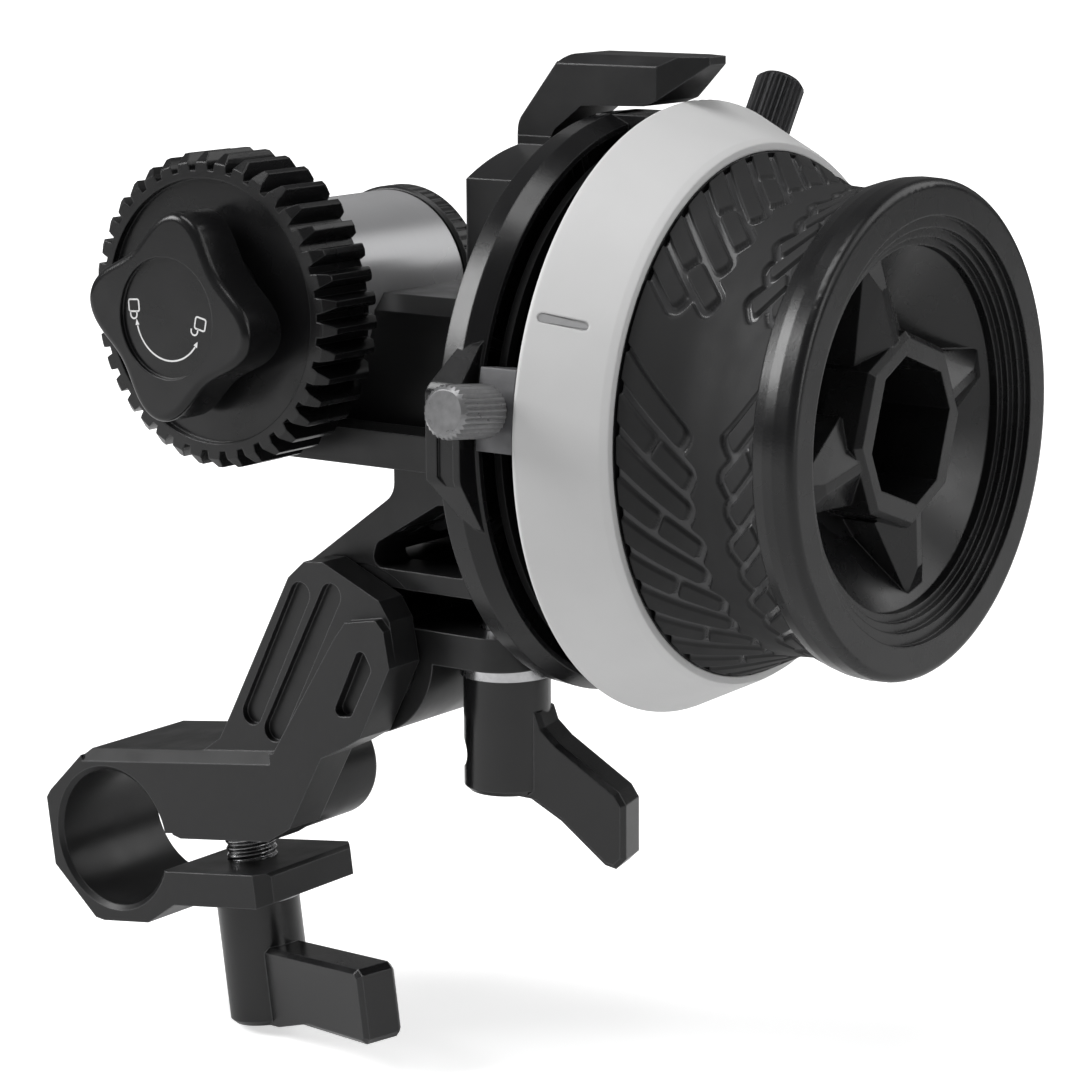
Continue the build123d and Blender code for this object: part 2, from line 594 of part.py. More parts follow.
# ---------------------------------------------------------------- pivot bracket
def pivot_bracket():
    body = web_plate()
    body += block(CASE_X0, CASE_X1, RAIL_FRONT_Y, CASE_Y0, RAIL_LOW_Z, RAIL_HIGH_Z)
    body += block(CASE_X0, CASE_X1, CASE_Y0 - SMALL, BRACKET_REAR_Y, RAIL_LOW_Z, CASE_SEAT_Z)
    body -= rod_y(PIVOT_X, PIVOT_Z, PIVOT_RING_R, BRACKET_FRONT_Y - 1, RING_FRONT_Y)
    body += rod_y(PIVOT_X, PIVOT_Z, PIVOT_RING_R, RING_FRONT_Y, BRACKET_DEEP_Y)
    body += slab_z(ear_face(), PIVOT_EAR_LOW_Z, PIVOT_SLIT_LOW_Z)
    body += slab_z(ear_face(), PIVOT_SLIT_HIGH_Z, PIVOT_SLIT_HIGH_Z + PIVOT_EAR_T)
    boss = rod_z(PIVOT_STUD_X, PIVOT_STUD_Y, PIVOT_BOSS_R, PIVOT_SLIT_HIGH_Z, PIVOT_SLIT_HIGH_Z + PIVOT_BOSS_H)
    body += boss
    pocket = fillet(outline(WEB_POCKET).vertices(), POCKET_CORNER_R)
    body -= slab_y(pocket, BRACKET_FRONT_Y - 1, BRACKET_REAR_Y + 1) - boss
    body -= rod_y(PIVOT_X, PIVOT_Z, PIVOT_R + RUN, RING_FRONT_Y - 1, BRACKET_DEEP_Y + 1)
    body -= block(PIVOT_X + 0.6, CASE_X1 + 1, RING_FRONT_Y - 1, BRACKET_DEEP_Y + 1, PIVOT_SLIT_LOW_Z,
                  PIVOT_SLIT_HIGH_Z)
    body -= rod_z(PIVOT_STUD_X, PIVOT_STUD_Y, STUD_R + 0.25, PIVOT_EAR_LOW_Z - 1, PIVOT_SLIT_LOW_Z + 1)
    body -= rod_z(PIVOT_STUD_X, PIVOT_STUD_Y, STUD_R + RUN, PIVOT_SLIT_HIGH_Z - 1,
                  PIVOT_SLIT_HIGH_Z + PIVOT_BOSS_H - 1)
    for x, z in BRACKET_SCREWS:
        body -= rod_y(x, z, BRACKET_SCREW_R, BRACKET_FRONT_Y + 0.9, BRACKET_REAR_Y + 1)
    return body


def web_plate():
    right = [(WEB_X, CASE_SEAT_Z), (CASE_X1, CASE_SEAT_Z), (CASE_X1 - 1.4, CASE_Z0 - 3),
             (PIVOT_EAR_END_X, PIVOT_SLIT_HIGH_Z), (PIVOT_X, PIVOT_SLIT_HIGH_Z), (PIVOT_X, WEB_OUTLINE[0][1])]
    face = outline(WEB_OUTLINE + right)
    corner = face.vertices().sort_by_distance(Vector(WEB_X, WEB_OUTLINE[-1][1]))[0]
    return slab_y(fillet(corner, WEB_CORNER_R), BRACKET_FRONT_Y, BRACKET_REAR_Y)


def ear_face():
    y0 = RING_FRONT_Y
    y1 = BRACKET_DEEP_Y
    face = Pos((PIVOT_X + PIVOT_EAR_END_X) / 2, (y0 + y1) / 2) * Rectangle(
        PIVOT_EAR_END_X - PIVOT_X, y1 - y0)
    return fillet(face.vertices().group_by(Axis.X)[-1], PIVOT_BOSS_R)


def pivot_friction_washer():
    disc = rod_y(PIVOT_X, PIVOT_Z, 7.0, PLATE_REAR_Y + 0.05, RING_FRONT_Y)
    return disc - rod_y(PIVOT_X, PIVOT_Z, PIVOT_R + RUN, PLATE_REAR_Y - 1, RING_FRONT_Y + 1)


def bracket_screw(x, z):
    screw = rod_y(x, z, BRACKET_SCREW_R, BRACKET_FRONT_Y + 1.1, BRACKET_REAR_Y + 2.2)
    screw += rod_y(x, z, BRACKET_HEAD_R, BRACKET_REAR_Y + 2.2, BRACKET_REAR_Y + 4.2)
    return screw - slab_y(Pos(x, z) * RegularPolygon(1.0, 6), BRACKET_REAR_Y + 3.2, BRACKET_REAR_Y + 5)


# ---------------------------------------------------------------- gear case
def drum_face(radius, y0, y1, z0):
    face = Pos(WHEEL_Y, WHEEL_Z) * Circle(radius)
    window = Pos((y0 + y1) / 2, z0 + 30) * Rectangle(y1 - y0, 60)
    return face & window


def gear_case():
    body = block(CASE_X0, CASE_X1, CASE_Y0, CASE_Y1, CASE_Z0, CASE_Z1)
    body = chamfer(body.edges().filter_by(Axis.X).group_by(Axis.Z)[-1].group_by(Axis.Y)[0], CASE_EDGE)
    body = chamfer(body.edges().filter_by(Axis.Z).group_by(Axis.X)[0].group_by(Axis.Y)[0], CASE_CORNER)
    drum = slab_x(drum_face(DRUM_R, CASE_Y0, DRUM_REAR_Y, DRUM_CUT_Z), DRUM_X, CASE_X1)
    body += fillet(drum.edges().group_by(Axis.X)[0], DRUM_CORNER_R)
    web = fillet(outline(CASE_WEB).vertices().group_by(Axis.Y)[0], POCKET_CORNER_R)
    body += slab_y(web, BRACKET_REAR_Y, CASE_WEB_REAR)
    body += slab_y(outline(APRON), BRACKET_DEEP_Y + GAP, BRACKET_DEEP_Y + GAP + APRON_T)
    body += block(POINTER_X0, POINTER_X0 + POINTER_FOOT, WHEEL_Y - POINTER_HALF, WHEEL_Y + POINTER_HALF,
                  WHEEL_Z + DRUM_R - 4, POINTER_SEAT_Z)
    # room for the bracket's plate, ears and thread boss under the drum
    body -= block(CASE_X0 - 1, CASE_X1 + 1, 0, BRACKET_REAR_Y, 20, CASE_SEAT_Z)
    body -= block(DRUM_X - 1, CASE_X1 + 1, 0, BRACKET_DEEP_Y + GAP, 20, 40.6)
    body -= gear_chamber()
    body -= out_rod(TUBE_R, CASE_Y0 - 1, RING_Y0 - 0.2)
    body -= out_rod(RING_R + GAP, RING_Y0 - 0.2, SLEEVE_END_Y + 0.2)
    body -= drum_hollow()
    body -= wheel_rod(BALL_8_R - 1.6, CHAMBER_X1 - 1, BALL_A_X)
    body -= wheel_rod(BALL_8_R, BALL_A_X, CASE_X1 + 1)
    body -= lay_rod(LAY_R + RUN, LAY_Y0 - 0.2, CHAMBER_Y0 + 1)
    body -= rod_z(OUT_X, BARREL_SCREW_Y, 1.6, CASE_Z0 - 1, OUT_Z - TUBE_R + 1)
    body -= rod_z(OUT_X, BARREL_SCREW_Y, 3.0, CASE_Z0 - 1, CASE_Z0 + 2.2)
    for x, z in BRACKET_SCREWS:
        body -= rod_y(x, z, 1.4, CASE_Y0 - 1, CHAMBER_Y0 + 2)
        body -= rod_y(x, z, 2.3, BRACKET_REAR_Y + 2.2, CASE_WEB_REAR + 1)
    for x, z in COVER_SCREWS:
        body -= rod_y(x, z, 1.25, CASE_Y1 - COVER_T - 7, CASE_Y1 + 1)
    body -= block(CASE_X0 - 1, DRUM_X, CASE_Y1 - COVER_T, CASE_Y1 + 1, CASE_Z0 - 1, CASE_Z1 + 1)
    for y in POINTER_SCREW_YS:
        body -= rod_z(POINTER_SCREW_X, y, POINTER_SCREW_R + SLIP, POINTER_SEAT_Z - 7, POINTER_SEAT_Z + 1)
        body -= rod_z(POINTER_SCREW_X, y, 2.1, POINTER_SEAT_Z - 7, POINTER_SEAT_Z - 3.1)
    return body


def gear_chamber():
    face = Pos((CHAMBER_X0 + CHAMBER_X1) / 2, (CHAMBER_Z0 + CHAMBER_Z1) / 2) * Rectangle(
        CHAMBER_X1 - CHAMBER_X0, CHAMBER_Z1 - CHAMBER_Z0)
    face -= Pos(OUT_X, OUT_Z) * Circle(TUBE_R - SMALL)
    room = slab_y(face, CHAMBER_Y0, CASE_Y1 + 1)
    room += lay_rod(5.2 + SLIP, SLEEVE_END_Y + 0.1, CASE_Y1)
    return room + lay_rod(CONE_R + 0.9, CHAMBER_Y0, RING_Y0 - 0.2)


def drum_hollow():
    inner = drum_face(DRUM_R - DRUM_WALL, BRACKET_REAR_Y + 2.2, DRUM_REAR_Y - DRUM_WALL, 41.8)
    lower = drum_face(DRUM_R - DRUM_WALL, 12.4, DRUM_REAR_Y - DRUM_WALL, DRUM_CUT_Z + DRUM_WALL)
    room = slab_x(inner + lower, DRUM_X + DRUM_WALL, CASE_X1 + 1)
    room -= wheel_rod(BOSS_R, DRUM_X, CASE_X1 + 1)
    for y, z in PLATE_SCREWS:
        room -= rod_x(y, z, 2.6, DRUM_X, CASE_X1 + 1)
    for y, z in PLATE_SCREWS:
        room += rod_x(y, z, 1.25, CASE_X1 - 6, CASE_X1 + 1)
    return room


def gear_case_cover():
    x1 = DRUM_X - SLIP
    plate = block(CASE_X0, x1, CASE_Y1 - COVER_T, CASE_Y1, CASE_Z0, CASE_Z1)
    plate = chamfer(plate.edges().filter_by(Axis.Z).group_by(Axis.X)[0].group_by(Axis.Y)[-1], 1.0)
    plate += lay_rod(5.2, SLEEVE_END_Y + 0.2, CASE_Y1 - COVER_T)
    plate -= lay_rod(4.0, SLEEVE_END_Y, BALL_C_Y + 3.0)
    plate -= lay_rod(LAY_R + 0.5, BALL_C_Y, CASE_Y1 - 0.4)
    for x, z in COVER_SCREWS:
        plate -= rod_y(x, z, 1.4, CASE_Y1 - COVER_T - 1, CASE_Y1 + 1)
        plate -= rod_y(x, z, 2.35, CASE_Y1 - 1.2, CASE_Y1 + 1)
    return plate


def cover_screw(x, z):
    seat = CASE_Y1 - 1.2
    screw = rod_y(x, z, 1.25, seat - 6, seat)
    screw += rod_y(x, z, 2.1, seat, seat + 1.1)
    return screw - slab_y(Pos(x, z) * RegularPolygon(0.9, 6), seat + 0.3, seat + 2)


def pointer_screw(y):
    seat = POINTER_SEAT_Z - 3.1
    screw = rod_z(POINTER_SCREW_X, y, POINTER_SCREW_R, seat, POINTER_SEAT_Z + 3.4)
    screw += rod_z(POINTER_SCREW_X, y, 1.9, seat - 1.4, seat)
    return screw - slab_z(Pos(POINTER_SCREW_X, y) * RegularPolygon(0.8, 6), seat - 2, seat - 0.7)


def pointer_outline():
    top = [(POINTER_X0, POINTER_SEAT_Z), (POINTER_X0 + 0.1, POINTER_SEAT_Z + 1.4),
           (POINTER_X0 + 5.6, POINTER_TOP_Z), (POINTER_TIP_X, POINTER_TOP_Z),
           (POINTER_TIP_X, POINTER_TOP_Z - 0.8)]
    under = [(POINTER_TIP_X - 3.1, POINTER_TIP_Z), (BACK_X1 + 3.4, POINTER_BAR_Z + 0.7),
             (BACK_X1 + 2.0, POINTER_BAR_Z + 0.2), (BACK_X0 - 1.2, POINTER_BAR_Z),
             (POINTER_X0 + 4.6, POINTER_SEAT_Z + 0.7), (POINTER_X0 + POINTER_FOOT, POINTER_SEAT_Z)]
    face = outline(top + under)
    shoulder = Vector(POINTER_X0 + 5.6, POINTER_TOP_Z)
    ankle = Vector(POINTER_X0 + 0.1, POINTER_SEAT_Z + 1.4)
    face = fillet(face.vertices().sort_by_distance(shoulder)[0], 2.6)
    return fillet(face.vertices().sort_by_distance(ankle)[0], 2.4)


def pointer_bracket():
    face = pointer_outline()
    y0 = WHEEL_Y - POINTER_HALF
    y1 = WHEEL_Y + POINTER_HALF
    body = slab_y(face, y0, y1)
    for side in (-1, 1):
        # the outer edges of the outline are beveled on both sides
        lowered = slab_y(Pos(POINTER_EDGE * 0.4, -POINTER_EDGE) * face, y0, y1)
        rim = body - lowered - slab_y(Pos(BACK_X0, POINTER_BAR_Z) * Rectangle(40, 5.6), y0, y1)
        wedge = outline([(WHEEL_Y + side * POINTER_HALF, POINTER_TOP_Z - POINTER_EDGE),
                         (WHEEL_Y + side * (POINTER_HALF + 1), POINTER_TOP_Z + 1),
                         (WHEEL_Y + side * (POINTER_HALF - POINTER_EDGE), POINTER_TOP_Z)])
        body -= slab_x(wedge, POINTER_X0 + 5, POINTER_TIP_X + 1) & rim
        nose = outline([(POINTER_TIP_X - 4.8, WHEEL_Y + side * (POINTER_HALF + SMALL)),
                        (POINTER_TIP_X + 1, WHEEL_Y + side * (POINTER_HALF + SMALL)),
                        (POINTER_TIP_X + 1, WHEEL_Y + side * 0.9)])
        body -= slab_z(nose, POINTER_BAR_Z - 2, POINTER_TOP_Z + 1)
    for y in POINTER_SCREW_YS:
        body -= rod_z(POINTER_SCREW_X, y, POINTER_SCREW_R, POINTER_SEAT_Z - 1, POINTER_SEAT_Z + 3.8)
    return body


# ---------------------------------------------------------------- output barrel
def lay_groove(y0, y1):
    return lay_rod(CONE_R + 0.9, y0, y1)


def barrel_tube():
    body = out_rod(TUBE_R, TUBE_Y0, TUBE_Y1)
    body = chamfer(body.edges().group_by(Axis.Y)[0], 0.5)
    body -= out_rod(BALL_6_R, TUBE_Y0 - 1, TUBE_Y0 + 0.2 + BALL_6_T)
    body -= out_rod(BARREL_BORE_R, TUBE_Y0, TUBE_BORE_Y + 1)
    body -= out_rod(TUBE_BORE_R, TUBE_BORE_Y, TUBE_Y1 + 1)
    body -= lay_groove(CHAMBER_Y0 - 0.2, TUBE_Y1 + 1)
    return body - rod_z(OUT_X, BARREL_SCREW_Y, BARREL_SCREW_R + RUN, OUT_Z - TUBE_R - 1, OUT_Z)


def barrel_sleeve():
    body = out_rod(TUBE_BORE_R, SLEEVE_Y0, TUBE_Y1)
    body += out_rod(SLEEVE_NECK_R, TUBE_Y1, SLEEVE_END_Y)
    body -= out_rod(BARREL_BORE_R, SLEEVE_Y0 - 1, SLEEVE_END_Y + 1)
    body -= out_rod(BALL_6_R, BALL_6_REAR_Y, SLEEVE_END_Y + 1)
    body -= lay_groove(SLEEVE_Y0 - 1, RING_Y0 - 0.1)
    return body - rod_z(OUT_X, BARREL_SCREW_Y, BARREL_SCREW_R, OUT_Z - TUBE_R - 1, OUT_Z - BARREL_BORE_R - 0.4)


def barrel_screw():
    z0 = CASE_Z0 + 2.2
    screw = rod_z(OUT_X, BARREL_SCREW_Y, BARREL_SCREW_R, z0, OUT_Z - BARREL_BORE_R - 0.6)
    screw += rod_z(OUT_X, BARREL_SCREW_Y, BARREL_SCREW_HEAD_R, z0 - 2.0, z0)
    return screw - slab_z(Pos(OUT_X, BARREL_SCREW_Y) * RegularPolygon(1.2, 6), z0 - 3, z0 - 0.9)


def barrel_ring():
    body = out_rod(RING_R, RING_Y0, RING_Y1)
    ends = body.edges().group_by(Axis.Y)
    body = chamfer(ends[0] + ends[-1], 0.3)
    for i in range(RING_TEETH):
        cut = Pos(0, (RING_Y0 + RING_Y1) / 2, RING_R + 0.12) * Rot(0, 45, 0) * Box(0.5, 2.0, 0.5)
        body -= Pos(OUT_X, 0, OUT_Z) * Rot(0, 360 / RING_TEETH * i, 0) * cut
    return body - out_rod(SLEEVE_NECK_R + RUN, RING_Y0 - 1, RING_Y1 + 1)


def output_shaft():
    body = out_rod(SHAFT_R, TUBE_Y0 + 0.2, SLEEVE_END_Y)
    body += out_rod(4.0, GEAR_Y1, TUBE_Y0 + 0.2)
    body += slab_y(Pos(OUT_X, OUT_Z) * RegularPolygon(2.9, 6), GEAR_Y0 + 0.9, GEAR_Y1)
    body += out_rod(2.0, GEAR_Y0 - 3.4, GEAR_Y0 + 1)
    groove = out_rod(SHAFT_R + 1, BALL_6_REAR_Y + BALL_6_T, BALL_6_REAR_Y + BALL_6_T + 0.5)
    return body - (groove - out_rod(SHAFT_R - 0.4, TUBE_Y0, SLEEVE_END_Y + 1))


def output_circlip():
    y0 = BALL_6_REAR_Y + BALL_6_T
    ring = out_rod(4.2, y0, y0 + 0.5) - out_rod(SHAFT_R - 0.4, y0 - 1, y0 + 2)
    return ring - block(OUT_X - 1.2, OUT_X + 1.2, y0 - 1, y0 + 2, OUT_Z, OUT_Z + 6)


def output_spur():
    face = gear_face(SPUR_MODULE, SPUR_TEETH, 0.08, MESH_DEG + 180)
    body = slab_y(Pos(OUT_X, OUT_Z) * face, SPUR_Y0, SPUR_Y1)
    body += out_rod(4.4, SPUR_Y1, SPUR_Y1 + 3.0)
    return body - out_rod(SHAFT_R, SPUR_Y0 - 1, SPUR_Y1 + 4)


def drive_gear():
    face = gear_face(DRIVE_MODULE, DRIVE_TEETH, 0.0, GEAR_PHASE)
    body = slab_y(Pos(OUT_X, OUT_Z) * face, GEAR_Y0, GEAR_Y1)
    shape = [(0, GEAR_Y0), (GEAR_TIP_R - GEAR_EDGE, GEAR_Y0), (GEAR_TIP_R, GEAR_Y0 + GEAR_EDGE),
             (GEAR_TIP_R, GEAR_Y1 - GEAR_EDGE), (GEAR_TIP_R - GEAR_EDGE, GEAR_Y1), (0, GEAR_Y1)]
    body &= out_turned(shape)
    body -= out_rod(13.4, GEAR_Y0 - 1, GEAR_Y0 + 0.8)
    body -= out_rod(13.0, GEAR_Y1 - 1.2, GEAR_Y1 + 1) - out_rod(6.5, GEAR_Y1 - 2, GEAR_Y1 + 1)
    hole = slab_y(Pos(OUT_X, OUT_Z) * RegularPolygon(2.95, 6), GEAR_Y0 - 1, GEAR_Y1 + 1)
    return body - hole


def lobe_wire(offset):
    points = []
    for i in range(48):
        a = 2 * math.pi * i / 48
        wave = math.cos(4 * (a - math.radians(KNOB_TURN)))
        r = KNOB_MEAN_R + KNOB_LOBE * (wave + 0.12 * wave * wave) - 0.12 * KNOB_LOBE - offset
        points.append((r * math.cos(a), r * math.sin(a)))
    return make_face(Wire([Spline(*points, periodic=True)]))


def gear_lock_knob():
    at = Pos(OUT_X, OUT_Z)
    body = slab_y(at * lobe_wire(0), KNOB_Y0, KNOB_Y0 + KNOB_T)
    body = fillet(body.edges().group_by(Axis.Y)[0], 0.8)
    body += out_rod(6.8, KNOB_Y0 + KNOB_T, GEAR_Y0 + 0.8 - 0.1)
    body -= out_rod(KNOB_DISC_R, KNOB_Y0 - 1, KNOB_Y0 + 0.5)
    return body - out_rod(2.0 + RUN, KNOB_Y0 + 2.0, GEAR_Y0 + 2)


# ---------------------------------------------------------------- layshaft and wheel shaft
def layshaft():
    body = lay_rod(LAY_R, LAY_Y0, LAY_Y1)
    body += lay_rod(2.6, SPUR_Y1 + 3.2, SPUR_Y1 + 3.4)
    return body


def layshaft_spur():
    half_tooth = 180 / LAY_TEETH
    face = gear_face(SPUR_MODULE, LAY_TEETH, 0.08, MESH_DEG + half_tooth)
    body = slab_y(Pos(LAY_X, WHEEL_Z) * face, SPUR_Y0 - 0.1, SPUR_Y1 + 0.1)
    return body - lay_rod(LAY_R, SPUR_Y0 - 1, SPUR_Y1 + 1)


def layshaft_bevel():
    # hub reaches from the spur to the back of the bevel
    length = WHEEL_Y - SPUR_Y1 - 0.1
    bevel = bevel_along_x(3.6, length, LAY_R, BEVEL_PHASE_LAY, BEVEL_SLACK)
    return Pos(LAY_X, WHEEL_Y, WHEEL_Z) * Rot(0, 0, -90) * bevel


def wheel_bevel():
    bevel = bevel_along_x(5.0, BALL_A_X - LAY_X, SHAFT_R, BEVEL_PHASE_WHEEL, BEVEL_SLACK)
    return Pos(LAY_X, WHEEL_Y, WHEEL_Z) * bevel


def wheel_shaft():
    body = wheel_rod(SHAFT_R, LAY_X + CONE_R * BEVEL_INNER + 0.1, BALL_A_X)
    body += wheel_rod(WSHAFT_R, BALL_A_X, SHAFT_END_X)
    body += wheel_rod(WSHAFT_MID_R, BALL_A_X + BALL_8_T, BALL_B_X)
    flats = block(BACK_X1 + 4, SHAFT_END_X + 1, WHEEL_Y - 6, WHEEL_Y + 6, WHEEL_Z - SHAFT_FLAT,
                  WHEEL_Z + SHAFT_FLAT)
    ends = wheel_rod(6, BACK_X1 + 4, SHAFT_END_X + 1) - flats
    return body - ends - wheel_rod(2.0, SHAFT_END_X - 9, SHAFT_END_X + 1)


def handwheel_screw():
    body = wheel_rod(2.0, SHAFT_END_X - 8, SOCKET_FLOOR_X)
    body += wheel_rod(3.5, SOCKET_FLOOR_X, SOCKET_FLOOR_X + 2.8)
    return body - slab_x(Pos(WHEEL_Y, WHEEL_Z) * RegularPolygon(1.7, 6), SOCKET_FLOOR_X + 1.0, 90)


# ---------------------------------------------------------------- back plate
def back_plate():
    body = wheel_turned([(BACK_X0, 0), (BACK_X0, BACK_R - 0.2), (BACK_X0 + BACK_CREASE, BACK_R),
                         (BACK_X1, BACK_R - BACK_EDGE), (BACK_X1, 0)])
    body += label_panel()
    dish = wheel_turned([(BACK_X0 + BACK_FLOOR, 11.0), (BACK_X0 + BACK_FLOOR, BACK_RIM_R - 0.8),
                         (BACK_X1 + 1, BACK_RIM_R + 0.3), (BACK_X1 + 1, 11.0)])
    for angle in RIB_ANGLES:
        rib = block(BACK_X0, BACK_X1 - 1.2, WHEEL_Y + 10, WHEEL_Y + BACK_RIM_R, WHEEL_Z - 0.5,
                    WHEEL_Z + 0.5)
        dish -= around_wheel(rib, angle)
    body -= dish
    for y, z in PLATE_SCREWS:
        body += rod_x(y, z, PLATE_HEAD_R + 1.4, BACK_X0, BACK_X0 + 2.8)
    for y, z in PLATE_SCREWS:
        body -= rod_x(y, z, PLATE_SCREW_R + 0.15, BACK_X0 - 1, BACK_X1 + 1)
        body -= rod_x(y, z, PLATE_HEAD_R + 0.2, BACK_X0 + 1.4, BACK_X1 + 1)
    body += block(BACK_X0 + 0.4, POST_X1, POST_Y0, POST_Y1, POST_Z0, POST_Z1)
    body -= wheel_rod(BALL_8_R, BALL_B_X, BACK_X1 + 1)
    return body - wheel_rod(BALL_8_R - 1.0, BACK_X0 - 1, BACK_X1)


def label_panel():
    slant = PANEL_Y + PANEL_SLANT_Y
    side = outline([(PANEL_Y, PANEL_LOW_Z), (PANEL_Y, PANEL_HIGH_Z), (slant, PANEL_HIGH_Z + PANEL_SLANT_HIGH),
                    (-6.0, WHEEL_Z + 14.0), (-6.0, WHEEL_Z - 14.0), (slant, PANEL_LOW_Z - PANEL_SLANT_LOW)])
    side = fillet(side.vertices().group_by(Axis.X)[0], PANEL_CORNER_R)
    body = slab_x(side, BACK_X0, BACK_X1 - 0.3)
    # the panel narrows toward the case, seen from the front
    crease = BACK_X0 + BACK_CREASE
    front = outline([(BACK_X0 - 1, PANEL_LOW_Z), (BACK_X0 - 1, PANEL_HIGH_Z - 0.6),
                     (BACK_X0, PANEL_HIGH_Z - 0.6), (crease, PANEL_HIGH_Z + PANEL_SLANT_HIGH + 1.4),
                     (BACK_X1 + 1, PANEL_HIGH_Z + PANEL_SLANT_HIGH + 4), (BACK_X1 + 1, PANEL_LOW_Z - 6.5),
                     (crease, PANEL_LOW_Z - 4.4), (BACK_X0, PANEL_LOW_Z)])
    narrowed = slab_y(front, PANEL_Y - 1, slant)
    rest = block(BACK_X0, BACK_X1, slant, 0, WHEEL_Z - 20, WHEEL_Z + 20)
    body &= narrowed + rest
    recess = outline([(BACK_X0 + 1.3, PANEL_LOW_Z + 0.4), (BACK_X0 + 1.3, PANEL_HIGH_Z - 1.4),
                      (BACK_X1 - 1.1, PANEL_HIGH_Z - 1.4), (BACK_X1 - 1.1, PANEL_LOW_Z - 1.4)])
    return body - slab_y(recess, PANEL_Y - 1, PANEL_Y + 0.3)


def plate_screw(y, z):
    x0 = BACK_X0 + 1.4
    screw = rod_x(y, z, PLATE_SCREW_R, x0 - 5.5, x0)
    screw += rod_x(y, z, PLATE_HEAD_R, x0, x0 + 1.3)
    return screw - slab_x(Pos(y, z) * RegularPolygon(0.9, 6), x0 + 0.4, x0 + 3)


# ---------------------------------------------------------------- travel stops
def stop_ring():
    body = wheel_turned([(STOP_RING_X0, STOP_RING_R0), (STOP_RING_X0, STOP_RING_R1 - 0.3),
                         (STOP_RING_X0 + 0.3, STOP_RING_R1), (STOP_RING_X1, STOP_RING_R1),
                         (STOP_RING_X1, STOP_RING_R0)])
    above = STOP_RING_R1 + 1
    neck = wheel_turned([(STOP_X - SLOT_NECK / 2, SLOT_R1 - 1), (STOP_X - SLOT_NECK / 2, above),
                         (STOP_X + SLOT_NECK / 2, above), (STOP_X + SLOT_NECK / 2, SLOT_R1 - 1)])
    wide = wheel_turned([(STOP_X - SLOT_WIDE / 2, SLOT_R0), (STOP_X - SLOT_WIDE / 2, SLOT_R1),
                         (STOP_X + SLOT_WIDE / 2, SLOT_R1), (STOP_X + SLOT_WIDE / 2, SLOT_R0)])
    body -= neck + wide
    for i in range(RING_SCREWS):
        body -= ring_screw_at(i) * wheel_rod(1.2, 50, 70)
        body -= ring_screw_at(i) * wheel_rod(1.8, 50, STOP_RING_X0 + 1.2)
    return body


def ring_screw_at(i):
    angle = math.radians(30 + 360 / RING_SCREWS * i)
    return Pos(0, RING_SCREW_R * math.cos(angle), RING_SCREW_R * math.sin(angle))


def stop_ring_screw(i):
    x0 = STOP_RING_X0 + 1.2
    screw = wheel_rod(1.0, x0, x0 + 7) + wheel_rod(1.7, x0 - 1.1, x0)
    screw -= slab_x(Pos(WHEEL_Y, WHEEL_Z) * RegularPolygon(0.8, 6), x0 - 2, x0 - 0.5)
    return ring_screw_at(i) * screw


def stop_block(degrees):
    half = STOP_TANGENT / 2
    wide = STOP_W / 2
    narrow = SLOT_NECK / 2 - RUN
    foot = STOP_RING_R1 + RUN
    toe = SLOT_R1 + 0.2
    body = wheel_turned([(STOP_X - wide, foot), (STOP_X - wide, STOP_R), (STOP_X + wide, STOP_R),
                         (STOP_X + wide, foot), (STOP_X + narrow, foot), (STOP_X + narrow, toe),
                         (STOP_X - narrow, toe), (STOP_X - narrow, foot)])
    body &= block(50, 70, WHEEL_Y, WHEEL_Y + 40, WHEEL_Z - half, WHEEL_Z + half)
    body -= rod_along_radius(THUMB_THREAD_R + RUN, 20, 40)
    body -= rod_along_radius(SLOT_NECK / 2 + GAP, 20, foot)
    body -= rod_along_radius(THUMB_NECK_R + RUN, STOP_R - 0.6, 40)
    return around_wheel(body, degrees)


def rod_along_radius(r, r0, r1):
    rod = Pos(0, 0, (r0 + r1) / 2) * Cylinder(r, r1 - r0)
    return Pos(STOP_X, WHEEL_Y, WHEEL_Z) * Rot(-90, 0, 0) * rod


def stop_bolt(degrees):
    # the tee head runs in the ring's slot, and the stud carries the thumb nut
    height = SLOT_R1 - SLOT_R0 - 2 * SLIP
    body = Box(SLOT_WIDE - 2 * SLIP, height, BOLT_HEAD_LENGTH)
    body = Pos(STOP_X, WHEEL_Y + SLOT_R0 + SLIP + height / 2, WHEEL_Z) * body
    body &= wheel_rod(SLOT_R1 - 0.08, 50, 70) - wheel_rod(SLOT_R0 + 0.08, 50, 70)
    body += rod_along_radius(THUMB_THREAD_R, SLOT_R0 + 0.5, THUMB_TOP - THUMB_CAP - 0.3)
    return around_wheel(body, degrees)


def stop_thumb_nut(degrees):
    body = rod_along_radius(THUMB_NECK_R, STOP_R - 0.5, THUMB_NECK_TOP)
    head = Pos(0, 0, (THUMB_NECK_TOP + THUMB_TOP) / 2) * Cylinder(THUMB_R, THUMB_TOP - THUMB_NECK_TOP)
    head = chamfer(head.edges().group_by(Axis.Z)[-1], 0.5)
    head = chamfer(head.edges().group_by(Axis.Z)[0], 0.3)
    for i in range(THUMB_TEETH):
        tooth = Pos(THUMB_R + 0.12, 0, (THUMB_NECK_TOP + THUMB_TOP) / 2) * Rot(0, 0, 45) * Box(
            0.56, 0.56, THUMB_TOP - THUMB_NECK_TOP + 1)
        head -= Rot(0, 0, 360 / THUMB_TEETH * i) * tooth
    body += Pos(STOP_X, WHEEL_Y, WHEEL_Z) * Rot(-90, 0, 0) * head
    body -= rod_along_radius(THUMB_THREAD_R + SLIP, STOP_R - 1, THUMB_TOP - THUMB_CAP)
    return around_wheel(body, degrees)


